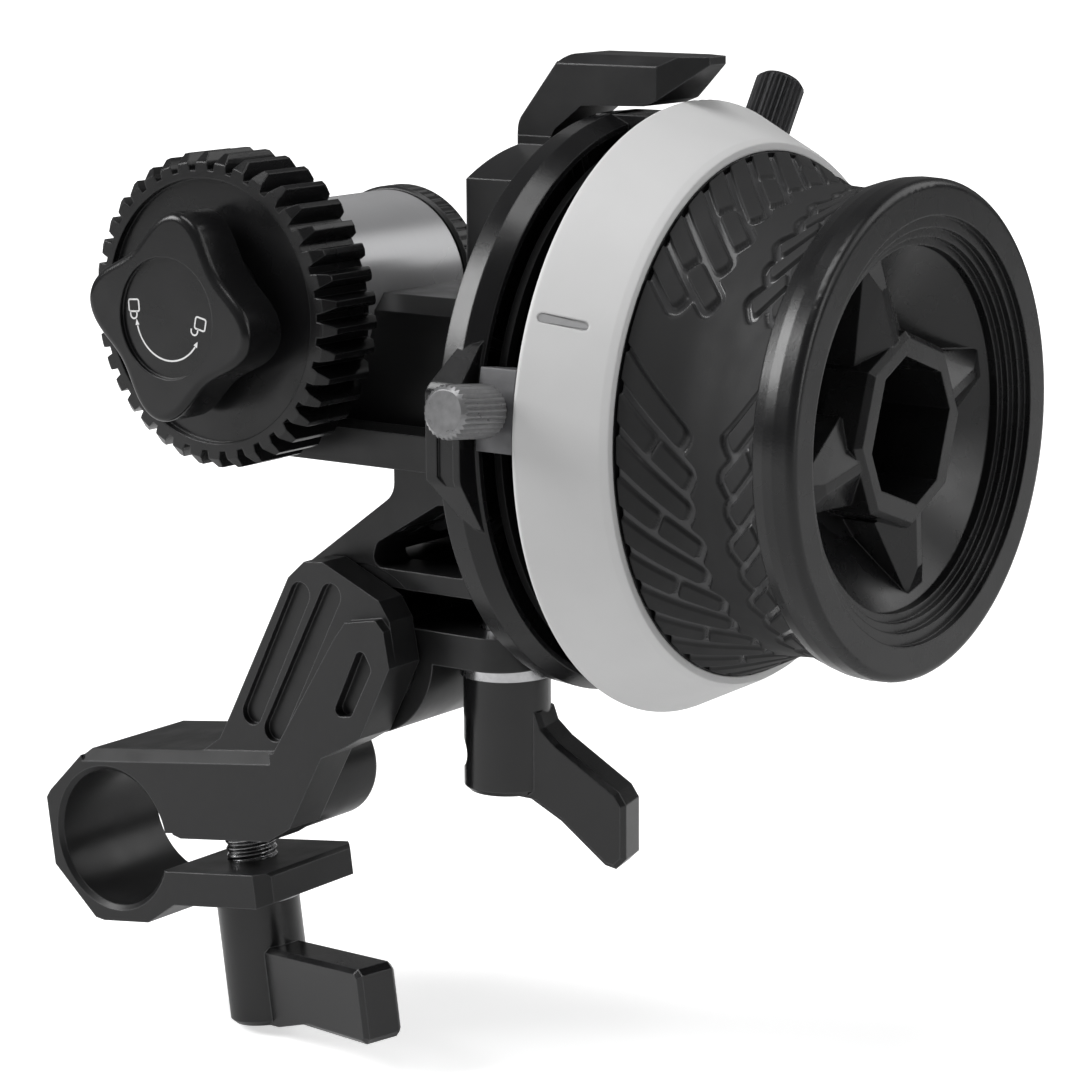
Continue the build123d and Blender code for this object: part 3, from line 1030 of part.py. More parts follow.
# ---------------------------------------------------------------- marking disc and handwheel
def marking_disc():
    inside = DISC_X0 + 0.6
    body = wheel_turned([(DISC_X0, DISC_R), (SEAT_X1 - 0.7, DISC_BORE_R + 1.2),
                         (SEAT_X1, DISC_BORE_R + 0.75), (SEAT_X1, DISC_BORE_R), (inside, DISC_BORE_R),
                         (inside, DISC_BORE_R + 0.9), (inside + 1.4, DISC_BORE_R + 1.3),
                         (DISC_X0, DISC_R - 1.4)])
    edge = body.edges().filter_by(GeomType.CIRCLE).sort_by(SortBy.RADIUS)[-1]
    body = fillet(edge, 0.4)
    line = stadium((DISC_X0 + 1.5, 0), (DISC_X0 + 5.1, 0), 0.9)
    cut = slab_z(Pos(0, WHEEL_Y) * line, WHEEL_Z + SEAT_R - 6, WHEEL_Z + DISC_R + 9)
    cut -= wheel_turned([(DISC_X0 - 1, 0), (DISC_X0 - 1, DISC_R + 0.2), (SEAT_X1 + 1, DISC_BORE_R + 0.2),
                         (SEAT_X1 + 1, 0)])
    return body - around_wheel(cut, INDEX_DEG - 90)


def seat_groove_ring():
    floor = SEAT_R - GROOVE_DEPTH
    return wheel_turned([(GROOVE_X0, floor), (GROOVE_X0, SEAT_R - 0.15), (GROOVE_X0 + 0.3, SEAT_R + 0.05),
                         (GROOVE_X1 - 0.3, SEAT_R + 0.05), (GROOVE_X1, SEAT_R - 0.15),
                         (GROOVE_X1, floor)])


def handwheel():
    body = wheel_shell() + wheel_hub()
    for angle in SPIKE_ANGLES:
        body += around_wheel(spike(), angle)
    square = Rectangle(SOCKET, SOCKET)
    square = chamfer(square.vertices(), SOCKET_CORNER)
    body -= slab_x(Pos(WHEEL_Y, WHEEL_Z) * Rot(0, 0, SOCKET_TURN) * square, SOCKET_FLOOR_X, FACE_X + 2)
    half = SHAFT_FLAT + 0.02
    bore = wheel_rod(WSHAFT_R + 0.02, BACK_X1 - 1, SHAFT_END_X + 0.3)
    flats = block(BACK_X1 + 4, SHAFT_END_X + 1, WHEEL_Y - 6, WHEEL_Y + 6, WHEEL_Z - half, WHEEL_Z + half)
    bore -= wheel_rod(6, BACK_X1 + 4, SHAFT_END_X + 1) - flats
    body -= bore + wheel_rod(2.2, SHAFT_END_X - 1, SOCKET_FLOOR_X + 1)
    for i in range(RING_SCREWS):
        body -= ring_screw_at(i) * wheel_rod(1.0, STOP_RING_X1 - 1, STOP_RING_X1 + 5)
    return body


def wheel_shell():
    seat = [(STOP_RING_X1, CORE_BORE_R), (STOP_RING_X1, SEAT_R), (GROOVE_X0, SEAT_R),
            (GROOVE_X0, SEAT_R - GROOVE_DEPTH), (GROOVE_X1, SEAT_R - GROOVE_DEPTH), (GROOVE_X1, SEAT_R),
            (SEAT_X1, SEAT_R), (SEAT_X1, CORE_R), (GRIP_X1 + SMALL, CORE_R)]
    flange = [(GRIP_X1 + SMALL, GRIP_END_R), (GRIP_X1 + 1.2, FLANGE_R - 0.1), (GRIP_X1 + 2.3, FLANGE_R),
              (FACE_X, FLANGE_R - 0.1)]
    steps = []
    for i, r in enumerate(STEP_RS):
        steps += [(FACE_X - STEP_DROP * i, r), (FACE_X - STEP_DROP * (i + 1), r)]
    lip = FACE_X - STEP_DROP * len(STEP_RS)
    dish = [(lip, DISH_R), (lip - 1.0, DISH_R), (DISH_FLOOR_X + 0.6, 11.0), (DISH_FLOOR_X, DISH_FLOOR_R)]
    under = [(DISH_FLOOR_X - 2.8, DISH_FLOOR_R), (DISH_FLOOR_X - 2.8, 11.2), (DISH_FLOOR_X, 17.0),
             (DISH_FLOOR_X, RIM_WEB_R - 0.2), (GRIP_X0 + 0.4, RIM_WEB_R), (GRIP_X0 - 0.6, CORE_BORE_R)]
    face_corner = (FACE_X, FLANGE_R - 0.1, FACE_ROUND)
    return wheel_turned(seat + flange + steps + dish + under, [face_corner])


def wheel_hub():
    octagon = Pos(WHEEL_Y, WHEEL_Z) * Rot(0, 0, SOCKET_TURN) * RegularPolygon(
        HUB_FLATS, 8, major_radius=False, rotation=22.5)
    hub = wheel_rod(WHEEL_HUB_R, BACK_X1 + 0.4, SHAFT_END_X - 0.5)
    hub += wheel_rod(WSHAFT_R + 1.2, BACK_X1, BACK_X1 + 0.5)
    return hub + chamfer_top(slab_x(octagon, SHAFT_END_X - 1, HUB_FACE_X))


def chamfer_top(prism):
    return chamfer(prism.faces().sort_by(Axis.X)[-1].edges(), 0.6)


def spike():
    # a pointed rib from the hub to just short of the dish wall, as (x, radius, half width)
    root = [(DISH_FLOOR_X + 0.2, 8.0, 4.6), (DISH_FLOOR_X + 6.1, 8.0, 0.5), (DISH_FLOOR_X + 3.8, 8.0, 4.6)]
    tip = [(DISH_FLOOR_X + 4.4, 17.3, 1.5), (DISH_FLOOR_X + 1.8, 16.6, 1.5), (DISH_FLOOR_X + 5.4, 14.5, 0.5)]
    corners = [(x, r, side * half) for x, r, half in root + tip for side in (-1, 1)]
    return Pos(0, WHEEL_Y, WHEEL_Z) * ConvexPolyhedron(corners)


def handwheel_grip():
    inner = [(GRIP_X1, GRIP_END_R), (GRIP_X1, CORE_R), (GRIP_X0, CORE_R), (GRIP_X0, SEAT_R)]
    return wheel_turned(GRIP_PROFILE + inner)


# ---------------------------------------------------------------- assembly
def save(shape, name):
    print(name, round(shape.volume, 1), len(shape.solids()))
    export_step(shape, "parts/" + name + ".step")


def several(shapes):
    return Compound(children=[s if isinstance(s, Solid) else s.solid() for s in shapes])


def levers():
    save(ROD_LEVER_AT * lever_stud(ROD_STUD_LENGTH, LEVER_SCREW_GAP), "rod_clamp_stud")
    save(ROD_LEVER_AT * lever_screw(LEVER_SCREW_GAP), "rod_clamp_screw")
    save(ROD_LEVER_AT * lever_spring(), "rod_clamp_spring")
    save(ROD_LEVER_AT * lever_handle(ROD_PADDLE, ROD_PADDLE_AZ, ROD_HUB_LENGTH), "rod_clamp_lever")
    save(TILT * Pos(ROD_STUD_X, 0, 0) * washer(JAW_LOW_Z, WASHER_T), "rod_clamp_washer")
    save(PIVOT_LEVER_AT * lever_stud(PIVOT_STUD_LENGTH, LEVER_SCREW_GAP), "pivot_clamp_stud")
    save(PIVOT_LEVER_AT * lever_screw(LEVER_SCREW_GAP), "pivot_clamp_screw")
    save(PIVOT_LEVER_AT * lever_spring(), "pivot_clamp_spring")
    pivot_lever = lever_handle(PIVOT_PADDLE, PIVOT_PADDLE_AZ, PIVOT_HUB_LENGTH)
    save(PIVOT_LEVER_AT * pivot_lever, "pivot_clamp_lever")
    save(Pos(PIVOT_STUD_X, PIVOT_STUD_Y, 0) * washer(PIVOT_EAR_LOW_Z, PIVOT_WASHER_T),
         "pivot_clamp_washer")


def head_parts():
    save(pivot_bracket(), "pivot_bracket")
    save(pivot_friction_washer(), "pivot_friction_washer")
    save(several([bracket_screw(x, z) for x, z in BRACKET_SCREWS]), "bracket_screws")
    save(gear_case(), "gear_case")
    save(gear_case_cover(), "gear_case_cover")
    save(several([cover_screw(x, z) for x, z in COVER_SCREWS]), "cover_screws")
    save(pointer_bracket(), "pointer_bracket")
    save(several([pointer_screw(y) for y in POINTER_SCREW_YS]), "pointer_screws")
    save(back_plate(), "back_plate")
    save(several([plate_screw(y, z) for y, z in PLATE_SCREWS]), "back_plate_screws")


def barrel_parts():
    save(barrel_tube(), "barrel_tube")
    save(barrel_sleeve(), "barrel_sleeve")
    save(barrel_screw(), "barrel_screw")
    save(barrel_ring(), "barrel_ring")
    front = ball_bearing_y(out_rod, TUBE_Y0 + 0.2, SHAFT_R, BALL_6_R, BALL_6_T)
    rear = ball_bearing_y(out_rod, BALL_6_REAR_Y, SHAFT_R, BALL_6_R, BALL_6_T)
    save(several([front, rear]), "barrel_bearings")
    save(output_shaft(), "output_shaft")
    save(output_circlip(), "output_circlip")
    save(output_spur(), "output_spur")
    save(drive_gear(), "drive_gear")
    save(gear_lock_knob(), "gear_lock_knob")
    save(layshaft(), "layshaft")
    save(layshaft_spur(), "layshaft_spur")
    save(layshaft_bevel(), "layshaft_bevel")
    save(ball_bearing_y(lay_rod, BALL_C_Y, LAY_R, 4.0, 3.0), "layshaft_bearing")


def wheel_parts():
    left = ball_bearing_x(BALL_A_X, WSHAFT_R, BALL_8_R, BALL_8_T)
    right = ball_bearing_x(BALL_B_X, WSHAFT_R, BALL_8_R, BALL_8_T)
    save(several([left, right]), "wheel_bearings")
    save(wheel_shaft(), "wheel_shaft")
    save(wheel_bevel(), "wheel_bevel")
    save(stop_ring(), "stop_ring")
    save(several([stop_ring_screw(i) for i in range(RING_SCREWS)]), "stop_ring_screws")
    for letter, degrees in (("a", STOP_A_DEG), ("b", STOP_B_DEG)):
        save(stop_block(degrees), "stop_block_" + letter)
        save(stop_bolt(degrees), "stop_bolt_" + letter)
        save(stop_thumb_nut(degrees), "stop_thumb_nut_" + letter)
    save(marking_disc(), "marking_disc")
    save(seat_groove_ring(), "disc_seat_ring")
    save(handwheel(), "handwheel")
    save(handwheel_grip(), "handwheel_grip")
    save(handwheel_screw(), "handwheel_screw")


os.makedirs("parts", exist_ok=True)
save(rod_arm(), "rod_arm")
save(pivot_shaft(), "pivot_shaft")
save(pivot_shaft_screw(), "pivot_shaft_screw")
levers()
head_parts()
barrel_parts()
wheel_parts()
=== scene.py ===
"""Looks of the follow focus unit: a finish for every CAD node, the grip's tread, a thread and the marks."""
import json
import math

import bpy
import numpy as np
from mathutils import Matrix, Vector


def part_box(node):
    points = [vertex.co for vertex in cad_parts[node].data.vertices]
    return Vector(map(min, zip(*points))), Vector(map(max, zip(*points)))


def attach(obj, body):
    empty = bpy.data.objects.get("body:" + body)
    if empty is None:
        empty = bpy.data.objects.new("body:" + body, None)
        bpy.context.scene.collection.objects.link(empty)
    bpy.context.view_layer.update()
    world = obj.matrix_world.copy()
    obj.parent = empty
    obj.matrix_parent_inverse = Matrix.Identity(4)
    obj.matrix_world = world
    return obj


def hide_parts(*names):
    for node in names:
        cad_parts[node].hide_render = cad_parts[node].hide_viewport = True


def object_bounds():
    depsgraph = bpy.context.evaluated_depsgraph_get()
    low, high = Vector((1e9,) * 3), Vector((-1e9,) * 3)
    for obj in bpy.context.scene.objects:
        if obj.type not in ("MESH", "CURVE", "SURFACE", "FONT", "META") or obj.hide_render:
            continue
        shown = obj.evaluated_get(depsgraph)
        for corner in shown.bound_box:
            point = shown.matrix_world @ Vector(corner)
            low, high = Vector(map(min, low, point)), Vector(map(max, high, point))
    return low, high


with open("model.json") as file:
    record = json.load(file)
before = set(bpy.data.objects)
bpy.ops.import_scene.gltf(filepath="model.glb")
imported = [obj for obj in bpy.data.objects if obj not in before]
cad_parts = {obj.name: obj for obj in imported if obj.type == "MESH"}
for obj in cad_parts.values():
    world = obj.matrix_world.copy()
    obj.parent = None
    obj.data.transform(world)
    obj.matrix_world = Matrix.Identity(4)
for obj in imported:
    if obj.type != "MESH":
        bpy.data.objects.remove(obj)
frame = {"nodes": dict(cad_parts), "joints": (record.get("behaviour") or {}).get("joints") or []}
cad_low, cad_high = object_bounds()

MM = 0.001
JOINTS = {joint["name"]: joint for joint in frame["joints"]}
WHEEL_AT = Vector(JOINTS["wheel_turn"]["pos_m"])
KNOB_AT = Vector(JOINTS["lock_knob_turn"]["pos_m"])
STUD_AT = Vector(JOINTS["rod_lever_turn"]["pos_m"])
STUD_AXIS = Vector(JOINTS["rod_lever_turn"]["axis"]).normalized()


# ---------------------------------------------------------------- helpers for meshes and nodes
BORE_ROWS = 2                # rows on the inside of a ring's skin, which close it


def new_piece(name, points, faces, material, smooth=True):
    mesh = bpy.data.meshes.new(name)
    mesh.from_pydata([tuple(point) for point in points], [], faces)
    mesh.validate()
    mesh.update()
    mesh.materials.append(material)
    for polygon in mesh.polygons:
        polygon.use_smooth = smooth
    piece = bpy.data.objects.new(name, mesh)
    bpy.context.scene.collection.objects.link(piece)
    return piece


def closed_skin(rows, columns):
    """Faces of a ring's skin, whose rows and columns both close on themselves; they point outward."""
    faces = []
    for row in range(rows):
        here, above = row * columns, (row + 1) % rows * columns
        for column in range(columns):
            beside = (column + 1) % columns
            faces.append((here + column, here + beside, above + beside, above + column))
    return faces


def arc_points(centre, radius, start, end, count):
    turns = [math.radians(start + (end - start) * i / count) for i in range(count + 1)]
    return [(centre[0] + radius * math.cos(t), centre[1] + radius * math.sin(t)) for t in turns]


def remap(nodes, links, value, low, high, to_low, to_high):
    """A node that takes values from low to high evenly to those from to_low to to_high."""
    node = nodes.new("ShaderNodeMapRange")
    ends = {"From Min": low, "From Max": high, "To Min": to_low, "To Max": to_high}
    for socket, number in ends.items():
        node.inputs[socket].default_value = number
    links.new(value, node.inputs["Value"])
    return node


def calculate(nodes, links, operation, first, second):
    """The output of a number node that works on two sockets."""
    node = nodes.new("ShaderNodeMath")
    node.operation = operation
    links.new(first, node.inputs[0])
    links.new(second, node.inputs[1])
    return node.outputs[0]


# ---------------------------------------------------------------- camera, lamps and stage
# Angles are in degrees, lengths in metres and lamp powers in watts.
CAMERA_AT = Vector((0.25601, -0.28020, 0.10599))
CAMERA_AZIMUTH = 36.033
CAMERA_ELEVATION = 11.260
CAMERA_ROLL = -0.34
CAMERA_LENS = 117.51         # mm, for the sensor width below
SENSOR = 36.0
CLIP_NEAR, CLIP_FAR = 0.01, 20.0

SOFTBOXES = {
    "key": dict(azimuth=-50, elevation=32, distance=0.9, size=(0.45, 0.45), power=6.8),
    "fill": dict(azimuth=95, elevation=20, distance=1.0, size=(0.25, 0.7), power=2.0),
    "top": dict(azimuth=10, elevation=80, distance=0.8, size=(0.5, 0.3), power=2.4),
    "rear": dict(azimuth=140, elevation=32, distance=0.9, size=(0.7, 0.5), power=1.9),
}

AMBIENT = 0.14               # strength of the white world, where the camera doesn't see it directly
FLOOR_SIZE = 8.0
FLOOR_GAP = 0.0004           # under the lowest point of the part
FLOOR_WHITE = 0.86
FLOOR_ROUGHNESS = 0.9
FLOOR_GLOW = 0.62            # near the part, where its shadow falls
FLOOR_FAR_GLOW = 1.2         # at the horizon
FLOOR_NEAR = 0.12            # distance from the origin at which the glow starts to rise
FLOOR_FAR = 0.8              # and at which it is full
WHITE = (1.0, 1.0, 1.0, 1.0)


def toward_viewer(azimuth, elevation):
    """Unit vector to a viewer at an azimuth (0 is at -Y, 90 at +X) and an elevation."""
    turn, rise = math.radians(azimuth), math.radians(elevation)
    return Vector((math.sin(turn) * math.cos(rise), -math.cos(turn) * math.cos(rise), math.sin(rise)))


def aim(position, azimuth, elevation, roll=0.0):
    """Matrix of a camera or lamp at position that looks in from an azimuth and an elevation."""
    turn, tilt = math.radians(azimuth), math.radians(roll)
    back = toward_viewer(azimuth, elevation)
    level = Vector((math.cos(turn), math.sin(turn), 0.0))
    upright = back.cross(level)
    right = level * math.cos(tilt) + upright * math.sin(tilt)
    rotation = Matrix((right, back.cross(right), back)).transposed().to_4x4()
    return Matrix.Translation(position) @ rotation


def add_camera():
    """The photograph's own view."""
    data = bpy.data.cameras.new("camera")
    data.sensor_width = SENSOR
    data.lens = CAMERA_LENS
    data.clip_start = CLIP_NEAR
    data.clip_end = CLIP_FAR
    camera = bpy.data.objects.new("camera", data)
    camera.matrix_world = aim(CAMERA_AT, CAMERA_AZIMUTH, CAMERA_ELEVATION, CAMERA_ROLL)
    bpy.context.scene.collection.objects.link(camera)
    bpy.context.scene.camera = camera


def add_softbox(name, centre, azimuth, elevation, distance, size, power):
    """An area lamp that shines at centre, from the side that a camera of that azimuth would stand on."""
    data = bpy.data.lights.new(name, "AREA")
    data.shape = "RECTANGLE"
    data.size, data.size_y = size
    data.energy = power
    lamp = bpy.data.objects.new(name, data)
    lamp.matrix_world = aim(centre + toward_viewer(azimuth, elevation) * distance, azimuth, elevation)
    bpy.context.scene.collection.objects.link(lamp)


def add_world():
    """A white world, full for the camera and dim for everything that it lights."""
    world = bpy.data.worlds.new("studio")
    bpy.context.scene.world = world
    world.use_nodes = True
    nodes, links = world.node_tree.nodes, world.node_tree.links
    background = nodes["Background"]
    path = nodes.new("ShaderNodeLightPath")
    seen = calculate(nodes, links, "MAXIMUM",
                     path.outputs["Is Camera Ray"], path.outputs["Is Transmission Ray"])
    level = remap(nodes, links, seen, 0.0, 1.0, AMBIENT, 1.0)
    background.inputs["Color"].default_value = WHITE
    links.new(level.outputs["Result"], background.inputs["Strength"])


def floor_paint():
    """Matt white that glows for the camera only, and more so towards the horizon."""
    paint = bpy.data.materials.new("floor")
    paint.use_nodes = True
    nodes, links = paint.node_tree.nodes, paint.node_tree.links
    bsdf = nodes["Principled BSDF"]
    bsdf.inputs["Base Color"].default_value = (FLOOR_WHITE, FLOOR_WHITE, FLOOR_WHITE, 1.0)
    bsdf.inputs["Roughness"].default_value = FLOOR_ROUGHNESS
    bsdf.inputs["Specular IOR Level"].default_value = 0.0
    bsdf.inputs["Emission Color"].default_value = WHITE
    place = nodes.new("ShaderNodeTexCoord")
    distance = nodes.new("ShaderNodeVectorMath")
    distance.operation = "LENGTH"
    links.new(place.outputs["Object"], distance.inputs[0])
    rise = remap(nodes, links, distance.outputs["Value"], FLOOR_NEAR, FLOOR_FAR, FLOOR_GLOW, FLOOR_FAR_GLOW)
    rise.interpolation_type = "SMOOTHSTEP"
    path = nodes.new("ShaderNodeLightPath")
    glow = calculate(nodes, links, "MULTIPLY", path.outputs["Is Camera Ray"], rise.outputs["Result"])
    links.new(glow, bsdf.inputs["Emission Strength"])
    return paint


def add_floor(height):
    """A plain square floor round the origin."""
    half = FLOOR_SIZE / 2
    corners = [(-half, -half, 0), (half, -half, 0), (half, half, 0), (-half, half, 0)]
    floor = new_piece("floor", corners, [(0, 1, 2, 3)], floor_paint(), smooth=False)
    floor.location = (0, 0, height)


# ---------------------------------------------------------------- materials
# Noise scales are in cycles per metre on the object, and reaches and depths in metres.
EDGE_REACH = 0.00022         # how far soft shading and the painted edge highlight run from an edge
EDGE_SAMPLES = 4
FACING_FLAT = 0.985          # the rounded normal's cosine to the true one, where the painted edge highlight starts
FACING_EDGE = 0.80           # and where it is full
NOISE_LOW, NOISE_HIGH = 0.3, 0.7   # the range that Blender's noise mostly stays in
RING_STRETCH = 0.01          # noise's scale along a lathe ring, as a share of that from ring to ring

# Blender's Mix node repeats its socket names for each kind of value, so these are their numbers.
MIX_SHARE = 0
MIX_FROM_NUMBER, MIX_TO_NUMBER, MIX_NUMBER_OUT = 2, 3, 0
MIX_FROM_COLOUR, MIX_TO_COLOUR, MIX_COLOUR_OUT = 6, 7, 2


class Paint:
    """A Principled material whose colour, roughness and bump come from noise on the object."""

    def __init__(self, name, colour, roughness, metallic=0.0, specular=0.5):
        self.material = bpy.data.materials.new(name)
        self.material.use_nodes = True
        self.nodes = self.material.node_tree.nodes
        self.links = self.material.node_tree.links
        self.bsdf = self.nodes["Principled BSDF"]
        self.bsdf.inputs["Metallic"].default_value = metallic
        self.bsdf.inputs["Specular IOR Level"].default_value = specular
        self.place = self.nodes.new("ShaderNodeTexCoord").outputs["Object"]
        self.base = colour
        self.colour = self.fixed_colour(colour)
        self.roughness = roughness
        self.normal = None

    def fixed_colour(self, colour):
        node = self.nodes.new("ShaderNodeRGB")
        node.outputs[0].default_value = (*colour, 1.0)
        return node.outputs[0]

    def noise(self, scale, detail=2.0, stretch=(1.0, 1.0, 1.0)):
        stretched = self.nodes.new("ShaderNodeMapping")
        stretched.inputs["Scale"].default_value = stretch
        self.links.new(self.place, stretched.inputs["Vector"])
        node = self.nodes.new("ShaderNodeTexNoise")
        node.inputs["Scale"].default_value = scale
        node.inputs["Detail"].default_value = detail
        self.links.new(stretched.outputs["Vector"], node.inputs["Vector"])
        return node.outputs["Fac"]

    def ramp(self, value, low, high, to_low, to_high):
        return remap(self.nodes, self.links, value, low, high, to_low, to_high).outputs["Result"]

    def tint(self, share, colour):
        """Mixes another colour over what is there, by a share from 0 to 1."""
        node = self.nodes.new("ShaderNodeMix")
        node.data_type = "RGBA"
        self.links.new(share, node.inputs[MIX_SHARE])
        self.links.new(self.colour, node.inputs[MIX_FROM_COLOUR])
        self.links.new(self.fixed_colour(colour), node.inputs[MIX_TO_COLOUR])
        self.colour = node.outputs[MIX_COLOUR_OUT]

    def mottle(self, pattern, low, high, share, tone):
        """Mixes in the base colour times tone: not below low in the pattern, and by share above high."""
        self.tint(self.ramp(pattern, low, high, 0.0, share), tuple(tone * part for part in self.base))

    def bump(self, height, depth, strength):
        node = self.nodes.new("ShaderNodeBump")
        node.inputs["Distance"].default_value = depth
        node.inputs["Strength"].default_value = strength
        self.links.new(height, node.inputs["Height"])
        if self.normal is not None:
            self.links.new(self.normal, node.inputs["Normal"])
        self.normal = node.outputs["Normal"]

    def soften_edges(self, reach):
        """Rounds the shading of sharp edges, and returns the rounded normal."""
        bevel = self.nodes.new("ShaderNodeBevel")
        bevel.samples = EDGE_SAMPLES
        bevel.inputs["Radius"].default_value = reach
        self.normal = bevel.outputs["Normal"]
        return self.normal

    def paint_edge_highlight(self, colour, share):
        """Rounds the shading of edges, and mixes a lighter colour over them, by up to share, as a painted
        highlight along the edges.
        """
        rounded = self.soften_edges(EDGE_REACH)
        flat = self.nodes.new("ShaderNodeNewGeometry")
        facing = self.nodes.new("ShaderNodeVectorMath")
        facing.operation = "DOT_PRODUCT"
        self.links.new(rounded, facing.inputs[0])
        self.links.new(flat.outputs["Normal"], facing.inputs[1])
        self.tint(self.ramp(facing.outputs["Value"], FACING_FLAT, FACING_EDGE, 0.0, share), colour)

    def drifting_roughness(self, spread=0.06, scale=220.0, detail=3.0):
        """Roughness that drifts a little over the surface, as on handled parts."""
        drift = self.noise(scale, detail)
        return self.ramp(drift, NOISE_LOW, NOISE_HIGH, self.roughness - spread, self.roughness + spread)

    def finish(self, rough):
        """Connects the colour, the normal and the given roughness, and gives the material."""
        self.links.new(rough, self.bsdf.inputs["Roughness"])
        self.links.new(self.colour, self.bsdf.inputs["Base Color"])
        if self.normal is not None:
            self.links.new(self.normal, self.bsdf.inputs["Normal"])
        return self.material


def anodised(name, colour, roughness, specular=0.4):
    """Bead-blasted and dyed aluminium: fine even grain, and edges painted a little brighter as a painted
    highlight.
    """
    paint = Paint(name, colour, roughness, specular=specular)
    # painted highlight: the edges are painted lighter, by up to 0.8
    paint.paint_edge_highlight(colour=(0.16, 0.16, 0.165), share=0.8)
    paint.mottle(paint.noise(scale=900.0), low=0.4, high=0.7, share=0.25, tone=1.5)
    paint.bump(paint.noise(scale=5200.0, detail=3.0), depth=0.000012, strength=0.55)
    return paint.finish(paint.drifting_roughness())


def moulded(name, colour, roughness, specular):
    """Glass-filled nylon: a spark-eroded grain, broader than the blasted one."""
    paint = Paint(name, colour, roughness, specular=specular)
    # painted highlight: the edges are painted lighter, by up to 0.5
    paint.paint_edge_highlight(colour=(0.07, 0.07, 0.072), share=0.5)
    paint.bump(paint.noise(scale=3600.0), depth=0.000016, strength=0.4)
    return paint.finish(paint.drifting_roughness(spread=0.05))


def rubber(name, colour, roughness, groove_roughness):
    """Tread rubber: matt blocks, and smoother moulded floors where the groove attribute is 1, which are
    painted lighter as a painted sheen.
    """
    paint = Paint(name, colour, roughness, specular=0.3)
    groove = paint.nodes.new("ShaderNodeAttribute")
    groove.attribute_name = "groove"
    # painted sheen: the groove floors are painted lighter than the blocks
    paint.mottle(groove.outputs["Fac"], low=0.4, high=1.0, share=1.0, tone=3.2)
    paint.bump(paint.noise(scale=3000.0, detail=3.0), depth=0.00002, strength=0.5)
    smoother = paint.nodes.new("ShaderNodeMix")
    paint.links.new(groove.outputs["Fac"], smoother.inputs[MIX_SHARE])
    rough = paint.drifting_roughness(spread=0.05, scale=300.0, detail=2.0)
    paint.links.new(rough, smoother.inputs[MIX_FROM_NUMBER])
    smoother.inputs[MIX_TO_NUMBER].default_value = groove_roughness
    return paint.finish(smoother.outputs[MIX_NUMBER_OUT])


def painted_white(name, colour, roughness):
    """Matt white acetal with faint tool lines and a slight grey drift."""
    paint = Paint(name, colour, roughness)
    paint.soften_edges(reach=0.0003)
    paint.mottle(paint.noise(scale=120.0, detail=4.0), low=0.45, high=0.75, share=0.5, tone=0.93)
    paint.bump(paint.noise(scale=4200.0), depth=0.000008, strength=0.4)
    return paint.finish(paint.drifting_roughness(spread=0.04))


def turned(name, colour, roughness, axis, tone=0.8, metallic=1.0):
    """Lathe-turned metal: fine rings across the given axis (0, 1 or 2)."""
    paint = Paint(name, colour, roughness, metallic)
    stretch = [RING_STRETCH] * 3
    stretch[axis] = 1.0
    paint.soften_edges(reach=0.00015)
    rings = paint.noise(scale=9000.0, detail=3.0, stretch=stretch)
    paint.mottle(rings, low=0.35, high=0.65, share=0.3, tone=tone)
    paint.bump(rings, depth=0.000002, strength=0.25)
    return paint.finish(paint.drifting_roughness(spread=0.03, scale=60.0))


def plain_metal(name, colour, roughness, metallic=1.0):
    """Ground or rolled metal with a fine cloudy finish."""
    paint = Paint(name, colour, roughness, metallic)
    paint.soften_edges(reach=0.00012)
    paint.mottle(paint.noise(scale=1500.0, detail=4.0), low=0.4, high=0.7, share=0.6, tone=0.75)
    paint.bump(paint.noise(scale=7000.0, detail=3.0), depth=0.000003, strength=0.25)
    return paint.finish(paint.drifting_roughness(spread=0.05, scale=900.0))


def marking(name, colour, roughness):
    """Printed or inlaid paint: slightly uneven in colour."""
    paint = Paint(name, colour, roughness)
    paint.mottle(paint.noise(scale=2500.0, detail=4.0), low=0.5, high=0.8, share=0.6, tone=0.8)
    return paint.finish(paint.drifting_roughness(spread=0.03, scale=2000.0))


X, Y = 0, 1                  # the axes that turned pieces lie along
NEAR_BLACK = (0.008, 0.008, 0.0085)
TURNED_GREY = (0.50, 0.50, 0.51)


def make_paints():
    return {
        "anodised": anodised("black_anodised", (0.011, 0.011, 0.0115), roughness=0.34),
        "lever": anodised("black_lever", NEAR_BLACK, roughness=0.22, specular=0.5),
        "plastic": moulded("black_plastic", NEAR_BLACK, roughness=0.25, specular=0.35),
        # painted shade: the stop ring is black plastic, painted darker than the other black plastic for the
        # shade between the back plate and the disc
        "dark": moulded("black_ring_painted_shade", (0.004, 0.004, 0.0042), roughness=0.6, specular=0.1),
        "wheel": moulded("black_wheel", NEAR_BLACK, roughness=0.27, specular=0.4),
        "rubber": rubber("black_rubber", (0.020, 0.020, 0.0205), roughness=0.68, groove_roughness=0.2),
        "white": painted_white("white_disc", (0.66, 0.66, 0.66), roughness=0.5),
        "barrel": turned("grey_barrel", TURNED_GREY, roughness=0.26, axis=Y, tone=0.93, metallic=0.35),
        "steel": plain_metal("bright_steel", (0.55, 0.55, 0.56), roughness=0.25),
        "pin": turned("turned_steel", TURNED_GREY, roughness=0.28, axis=Y),
        "shaft": turned("shaft_steel", TURNED_GREY, roughness=0.26, axis=X),
        "thumb": plain_metal("nickel_nut", (0.26, 0.26, 0.265), roughness=0.32, metallic=0.6),
        "black_steel": plain_metal("black_oxide", (0.035, 0.035, 0.037), roughness=0.34, metallic=0.6),
        "grey_block": anodised("grey_block", (0.10, 0.10, 0.105), roughness=0.34),
        "brass": plain_metal("brass_gear", (0.70, 0.50, 0.22), roughness=0.28),
        "white_print": marking("white_print", (0.75, 0.75, 0.75), roughness=0.5),
        "grey_print": marking("grey_print", (0.34, 0.34, 0.345), roughness=0.5),
    }


